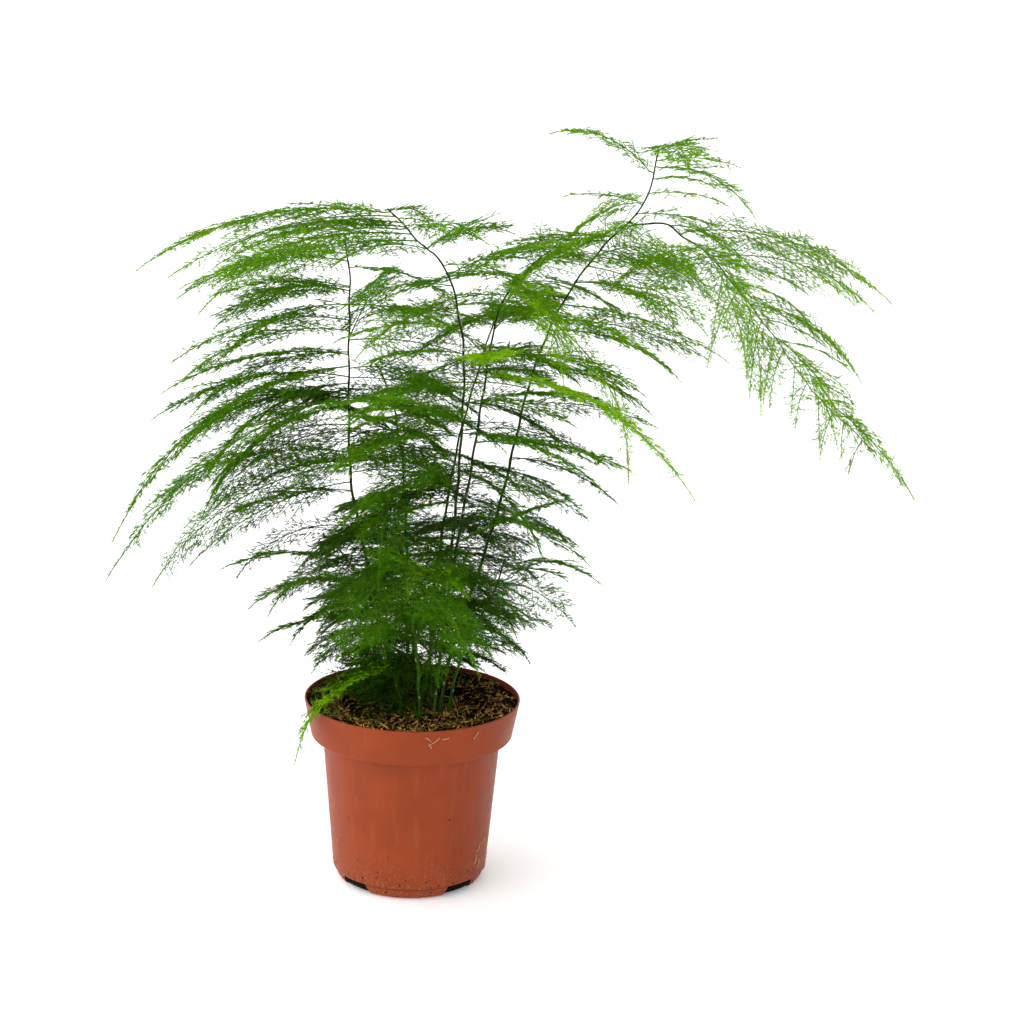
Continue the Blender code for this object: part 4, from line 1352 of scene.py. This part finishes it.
class Spray:
    """Grows one flat spray: a spine, long branches swept forward, twigs on them and tufts on all."""

    def __init__(self, settings, twigs, spots, rng, tone):
        self.settings = settings
        self.twigs = twigs
        self.spots = spots
        self.rng = rng
        self.tone = tone
        self.twig_tone = (TWIG_TONE_END - TUBE_STRIP) * min(max(tone, 0.0), 1.0)
        self.clump = 0.0

    def tuft(self, place, along, up, size_by, tip_share):
        """A tuft of needles, brighter towards the spray's tip."""
        side = up.cross(along)
        tone = self.tone + self.clump + self.rng.uniform(-0.07, 0.07) + 0.18 * tip_share
        self.spots.add(place, along, side, size_by * self.rng.uniform(0.82, 1.18), tone)

    def line(self, start, ahead, pull, length, step):
        """A line that bends towards the pull, as points with directions."""
        here = start.copy()
        course = [(here.copy(), ahead.copy())]
        count = max(int(length / step + 0.5), 1)
        for _ in range(count):
            ahead = (ahead + pull * (length / count / 0.02)).normalized()
            here = here + ahead * (length / count)
            course.append((here.copy(), ahead.copy()))
        return course

    def thread(self, course, foot, tip, every):
        """A thin tube along a course, through every few of its points and its last."""
        points = [place for place, _ in course[:-1:every]] + [course[-1][0]]
        last = len(points) - 1
        radii = [foot + (tip - foot) * index / last for index in range(last + 1)]
        self.twigs.tube(points, radii, THREAD_SIDES, self.twig_tone)

    def branch(self, start, ahead, up, forward, length, part):
        """A branch swept forward, with twigs to either side and only tufts on its last stretch."""
        settings = self.settings
        rng = self.rng
        pull = forward * rng.uniform(0.22, 0.42) + up * rng.uniform(-0.10, 0.08)
        pull.z -= rng.uniform(0.06, 0.20)
        course = self.line(start, ahead, pull, length, settings.twig_spacing / 4)
        self.thread(course, BRANCH_RADIUS + BRANCH_SWELL * min(length, 0.04), BRANCH_TIP, 4)
        last = len(course) - 1
        hand = rng.choice((-1, 1))
        twigs_end = rng.uniform(0.60, 0.85)
        self.clump = rng.uniform(-0.22, 0.14)
        for index, (place, along) in enumerate(course[1:], 1):
            share_along = index / last
            if share_along > twigs_end:
                if index % 2 == 0 or index == last:
                    past = (share_along - twigs_end) / (1 - twigs_end)
                    self.tuft(place, along, up, 0.62 - 0.30 * past, part)
            elif index % 2 == 0:
                hand = -hand
                side = up.cross(along).normalized() * hand
                lean = math.radians(rng.uniform(*TWIG_LEAN))
                out = along * math.cos(lean) + side * math.sin(lean) + up * rng.uniform(-0.22, 0.22)
                swell = math.sin(math.pi * min(0.12 + share_along / twigs_end * 0.80, 1.0))
                reach = settings.twig_length * (0.35 + 0.65 * swell) * rng.uniform(0.75, 1.15)
                self.twig(place, out.normalized(), up, reach, part)
            elif share_along > 0.25:
                self.tuft(place, along, up, 0.6, part)

    def twig(self, start, ahead, up, length, part):
        """A twig that droops a little, clothed in tufts that shrink towards its end."""
        course = self.line(start, ahead, Vector((0.0, 0.0, -0.25)), length, self.settings.tuft_spacing)
        self.thread(course, TWIG_RADIUS, TWIG_TIP, len(course))
        last = len(course) - 1
        for index, (place, along) in enumerate(course[1:], 1):
            self.tuft(place, along, up, 0.95 - 0.35 * index / last, part)

    def add_spine(self, path, tail):
        """The spine: the given path and a tail that goes on from its end and droops."""
        end, ahead = path.at(path.length)
        steps = [ahead * tail * n / 3 + Vector((0.0, 0.0, -0.06 * tail * n)) for n in (1, 2, 3)]
        spine = Path(path.points + [end + step for step in steps])
        count = max(int(spine.length / 0.004), 6)
        thick = 0.6 + 2.6 * min(path.length, 0.15)
        self.twigs.tube([spine.at(spine.length * n / count)[0] for n in range(count + 1)],
                        [SPINE_RADIUS * (1.0 - 0.52 * n / count) * thick for n in range(count + 1)],
                        SPINE_SIDES, self.twig_tone)
        return spine

    def grow(self, path, widest, roll, tail):
        """The whole spray along a path, leaning over to one side by the roll."""
        settings = self.settings
        rng = self.rng
        total = path.length
        spine = self.add_spine(path, tail)
        distance = BARE_STALK * total
        hand = rng.choice((-1, 1))
        while distance < spine.length:
            place, ahead = spine.at(distance)
            part = min(distance / total, 1.0)
            flat = Vector((-ahead.y, ahead.x, 0.0)).normalized()
            up = ahead.cross(flat).normalized()
            up = up if up.z > 0 else -up
            lean_over = Matrix.Rotation(roll, 3, ahead)
            flat, up = lean_over @ flat, lean_over @ up
            hand = -hand
            if part > TIP_START:
                past = (distance - TIP_START * total) / (spine.length - TIP_START * total)
                self.tuft(place, ahead, up, 1.05 - 0.4 * past, part)
                distance += settings.tuft_spacing
                continue
            lean = math.radians(BRANCH_LEAN - BRANCH_CLOSING * part + rng.uniform(-8, 8))
            reach = half_width(widest, part) / math.sin(lean) * rng.choice(BRANCH_REACHES)
            reach = max(min(reach, 1.25 * (spine.length - distance)), SHORTEST_BRANCH)
            out = ahead * math.cos(lean) + flat * hand * math.sin(lean) + up * rng.uniform(-0.14, 0.14)
            self.branch(place, out.normalized(), up, ahead, reach, part)
            if part > 0.2:
                self.tuft(place, ahead, up, 0.7, part)
            distance += settings.branch_spacing / 2 * rng.uniform(0.7, 1.3) * (1.0 - 0.35 * part)


def half_width(widest, part):
    """Half width of a spray: broad soon after its stalk, then narrowing all the way to the tip."""
    return widest * (0.45 + 0.55 * smoothstep(0.0, 0.2, part)) * max(1.0 - part / TIP_START, 0.0) ** 0.7


def bowed_path(start, heading, length, rise, droop, turn):
    """A path that leaves rising and bends over by the droop angle, turning a little as it goes."""
    steps = 16
    points = [start.copy()]
    for step in range(steps):
        part = (step + 0.5) / steps
        pitch = math.radians(rise - droop * part)
        yaw = math.radians(heading + turn * part)
        points.append(points[-1] + facing(yaw, pitch) * length / steps)
    return Path(points)


class Batch:
    """The sprays of one piece, gathered as twigs and tufts, and the CAD nodes they stand for."""

    def __init__(self):
        self.twigs = Growth()
        self.spots = SpotList()
        self.nodes = []

    def grow(self, settings, rng, tone, path, widest, roll, tail, node):
        Spray(settings, self.twigs, self.spots, rng, tone).grow(path, widest, roll, tail)
        if node:
            self.nodes.append(node)

    def finish(self, name, tree, shapes, needles):
        carrier = bpy.data.objects.new(name + "_twigs", self.twigs.striped_mesh(name + "_twigs"))
        piece = add_piece(name, self.spots.mesh(name))
        grown(piece, tree, {"Shapes": shapes, "Twigs": carrier, "Seed": 7, "Material": needles})
        bpy.data.objects.remove(carrier, do_unlink=True)
        finish_piece(piece, self.nodes)


class FERN_OT_sprays(bpy.types.Operator):
    """Grows the flat sprays of needles over the CAD fronds, grouped by stem"""

    bl_idname = "fern.sprays"
    bl_label = "Sprays of needles"

    def execute(self, context):
        settings = context.scene.fern_spray
        rng = random.Random(SPRAY_SEED)
        stems = read_stems()
        needles = fern_foliage(settings)
        tree = growing_tree()
        shapes = shape_collection("tuft_shapes", [tuft_mesh(f"tuft_{n}", rng, settings)
                                                  for n in range(TUFT_SHAPES)])
        for group, stem_names in SPRAY_GROUPS.items():
            jobs = [job for stem in stem_names for job in self.sprays_of(stem, stems[stem][0], settings)]
            batches = [Batch()]
            for job in jobs:
                if len(batches[-1].spots.places) > TUFTS_PER_PIECE:
                    batches.append(Batch())
                batches[-1].grow(settings, *job)
            for number, batch in enumerate(batches, 1):
                batch.finish(f"sprays_{group}_{number}", tree, shapes, needles)
        drop_collection(shapes)
        return {"FINISHED"}

    def sprays_of(self, stem, stem_path, settings):
        """Every spray of one stem: random source, tone, path, half width, roll, tail and CAD node."""
        prefix = f"frond_{stem}_"
        nodes = sorted(name for name in CAD_NODES
                       if name.startswith(prefix) and name[len(prefix):].isdigit())
        for node in nodes:
            path, widest = read_frond(node, stem_path)
            rng = random.Random(node)
            usual = (STEM_TONES[stem], 1.0, rng.uniform(-settings.roll, settings.roll))
            tone, wide, roll = FROND_LOOKS.get(node, usual)
            widest = widest * settings.spread * wide
            yield rng, tone, path, widest, math.radians(roll), settings.tail, node
        for number, row in enumerate(SIDE_SPRAYS):
            if row[0] == stem:
                yield from self.row_sprays(row, number, stem_path, settings)

    def row_sprays(self, row, number, stem_path, settings):
        """A row of lesser sprays between two places on a stem."""
        _, first, last, count, long_first, long_last, headings, rise, droop, widest, tone = row
        rng = random.Random(number)
        for index in range(count):
            share_along = (index + 0.5) / count
            place = first + (last - first) * share_along + rng.uniform(-0.01, 0.01)
            length = (long_first + (long_last - long_first) * share_along) * rng.uniform(0.85, 1.15)
            heading = headings[index % len(headings)] + rng.uniform(-14, 14)
            start, _ = stem_path.at(place * stem_path.length)
            path = bowed_path(start, heading, length, rise + rng.uniform(-7, 7),
                              droop + rng.uniform(-8, 8), rng.uniform(-16, 16))
            yield (rng, tone + rng.uniform(-0.08, 0.08), path, widest * rng.uniform(0.85, 1.15),
                   math.radians(rng.uniform(-settings.roll, settings.roll)), 0.6 * settings.tail, None)


# Stage ----------------------------------------------------------------------------------------

WHITE = (1.0, 1.0, 1.0)
LENS = 94.4
KEY_WIDTH = 0.9
KEY_OFFSET = Vector((-1.1, -0.9, 1.5))
KEY_AIM = Vector((0.06, 0.0, 0.18))
CAMERA_OFFSET = Vector((0.0526, -1.4208, 0.5859))
CAMERA_PITCH = 14.72
CAMERA_ROLL = 1.6


def white_paper(settings):
    """Matt paper, evenly white; it glows very slightly, so that the shadow on it stays faint."""
    made, tree, shader = blank_material("white_paper")
    # Clouds 300 mm across, hardly darker than the rest.
    base = layered(tree, settings.paper, [(patches(tree, 0.3, 0.3, 0.7, 0.0, 0.3), settings.paper_shade)])
    set_inputs(shader, {"Base Color": base, "Roughness": 0.9, "Specular IOR Level": 0.1,
                        "Emission Color": WHITE, "Emission Strength": 0.16})
    return made


class FERN_OT_stage(bpy.types.Operator):
    """Sets the pale floor, the soft light and the camera"""

    bl_idname = "fern.stage"
    bl_label = "Stage"

    def execute(self, context):
        settings = context.scene.fern_stage
        shape = bmesh.new()
        bmesh.ops.create_grid(shape, x_segments=1, y_segments=1, size=settings.floor_size / 2)
        floor = add_piece("floor", mesh_from(shape, "floor"), white_paper(settings))
        self.add_light(context, settings)
        self.add_camera(context)
        return {"FINISHED"}

    def add_light(self, context, settings):
        world = bpy.data.worlds.new("even_sky")
        world.use_nodes = True
        tree = world.node_tree
        way = add_node(tree, "ShaderNodeTexCoord", output="Generated")
        across = add_node(tree, "ShaderNodeSeparateXYZ", {"Vector": way}, "X")
        strength = add_node(tree, "ShaderNodeMapRange",
                            {"Value": across, "From Min": -1.0, "From Max": 1.0,
                             "To Min": settings.sky + settings.one_sided,
                             "To Max": settings.sky - settings.one_sided})
        set_inputs(tree.nodes["Background"], {"Strength": strength, "Color": WHITE})
        context.scene.world = world
        context.scene.view_settings.view_transform = "Standard"
        key = bpy.data.lights.new("key", "AREA")
        key.energy = settings.key_power
        key.size = KEY_WIDTH
        lamp = bpy.data.objects.new("key", key)
        context.scene.collection.objects.link(lamp)
        lamp.location = POT_AXIS + KEY_OFFSET
        aim = POT_AXIS + KEY_AIM
        lamp.rotation_euler = (aim - lamp.location).to_track_quat("-Z", "Y").to_euler()

    def add_camera(self, context):
        lens = bpy.data.cameras.new("camera")
        lens.lens = LENS
        lens.clip_start = 0.05
        lens.clip_end = 60.0
        camera = bpy.data.objects.new("camera", lens)
        context.scene.collection.objects.link(camera)
        pitch = Matrix.Rotation(math.radians(90 - CAMERA_PITCH), 4, "X")
        roll = Matrix.Rotation(math.radians(CAMERA_ROLL), 4, "Z")
        camera.matrix_world = Matrix.Translation(POT_AXIS + CAMERA_OFFSET) @ pitch @ roll
        context.scene.camera = camera


# Panel and registration -----------------------------------------------------------------------

OPERATORS = [FERN_OT_pot, FERN_OT_soil, FERN_OT_scraps, FERN_OT_stems, FERN_OT_sprays, FERN_OT_stage]
SETTINGS = {"fern_pot": FernPotSettings, "fern_soil": FernSoilSettings, "fern_stem": FernStemSettings,
            "fern_spray": FernSpraySettings, "fern_stage": FernStageSettings}


class FERN_PT_panel(bpy.types.Panel):
    """Lists the pieces of the potted fern and their settings"""

    bl_idname = "FERN_PT_panel"
    bl_label = "Potted fern"
    bl_space_type = "VIEW_3D"
    bl_region_type = "UI"
    bl_category = "Fern"

    def draw(self, context):
        for operator in OPERATORS:
            self.layout.operator(operator.bl_idname)
        for name, group in SETTINGS.items():
            box = self.layout.box()
            box.label(text=name.replace("_", " "))
            for key in group.__annotations__:
                box.prop(getattr(context.scene, name), key)


CLASSES = [*SETTINGS.values(), *OPERATORS, FERN_PT_panel]


def register():
    for entry in CLASSES:
        bpy.utils.register_class(entry)
    for name, group in SETTINGS.items():
        setattr(bpy.types.Scene, name, PointerProperty(type=group))


def unregister():
    for name in SETTINGS:
        delattr(bpy.types.Scene, name)
    for entry in reversed(CLASSES):
        bpy.utils.unregister_class(entry)


def main():
    register()
    for operator in OPERATORS:
        group, action = operator.bl_idname.split(".")
        getattr(getattr(bpy.ops, group), action)()


if __name__ == "__main__":
    main()
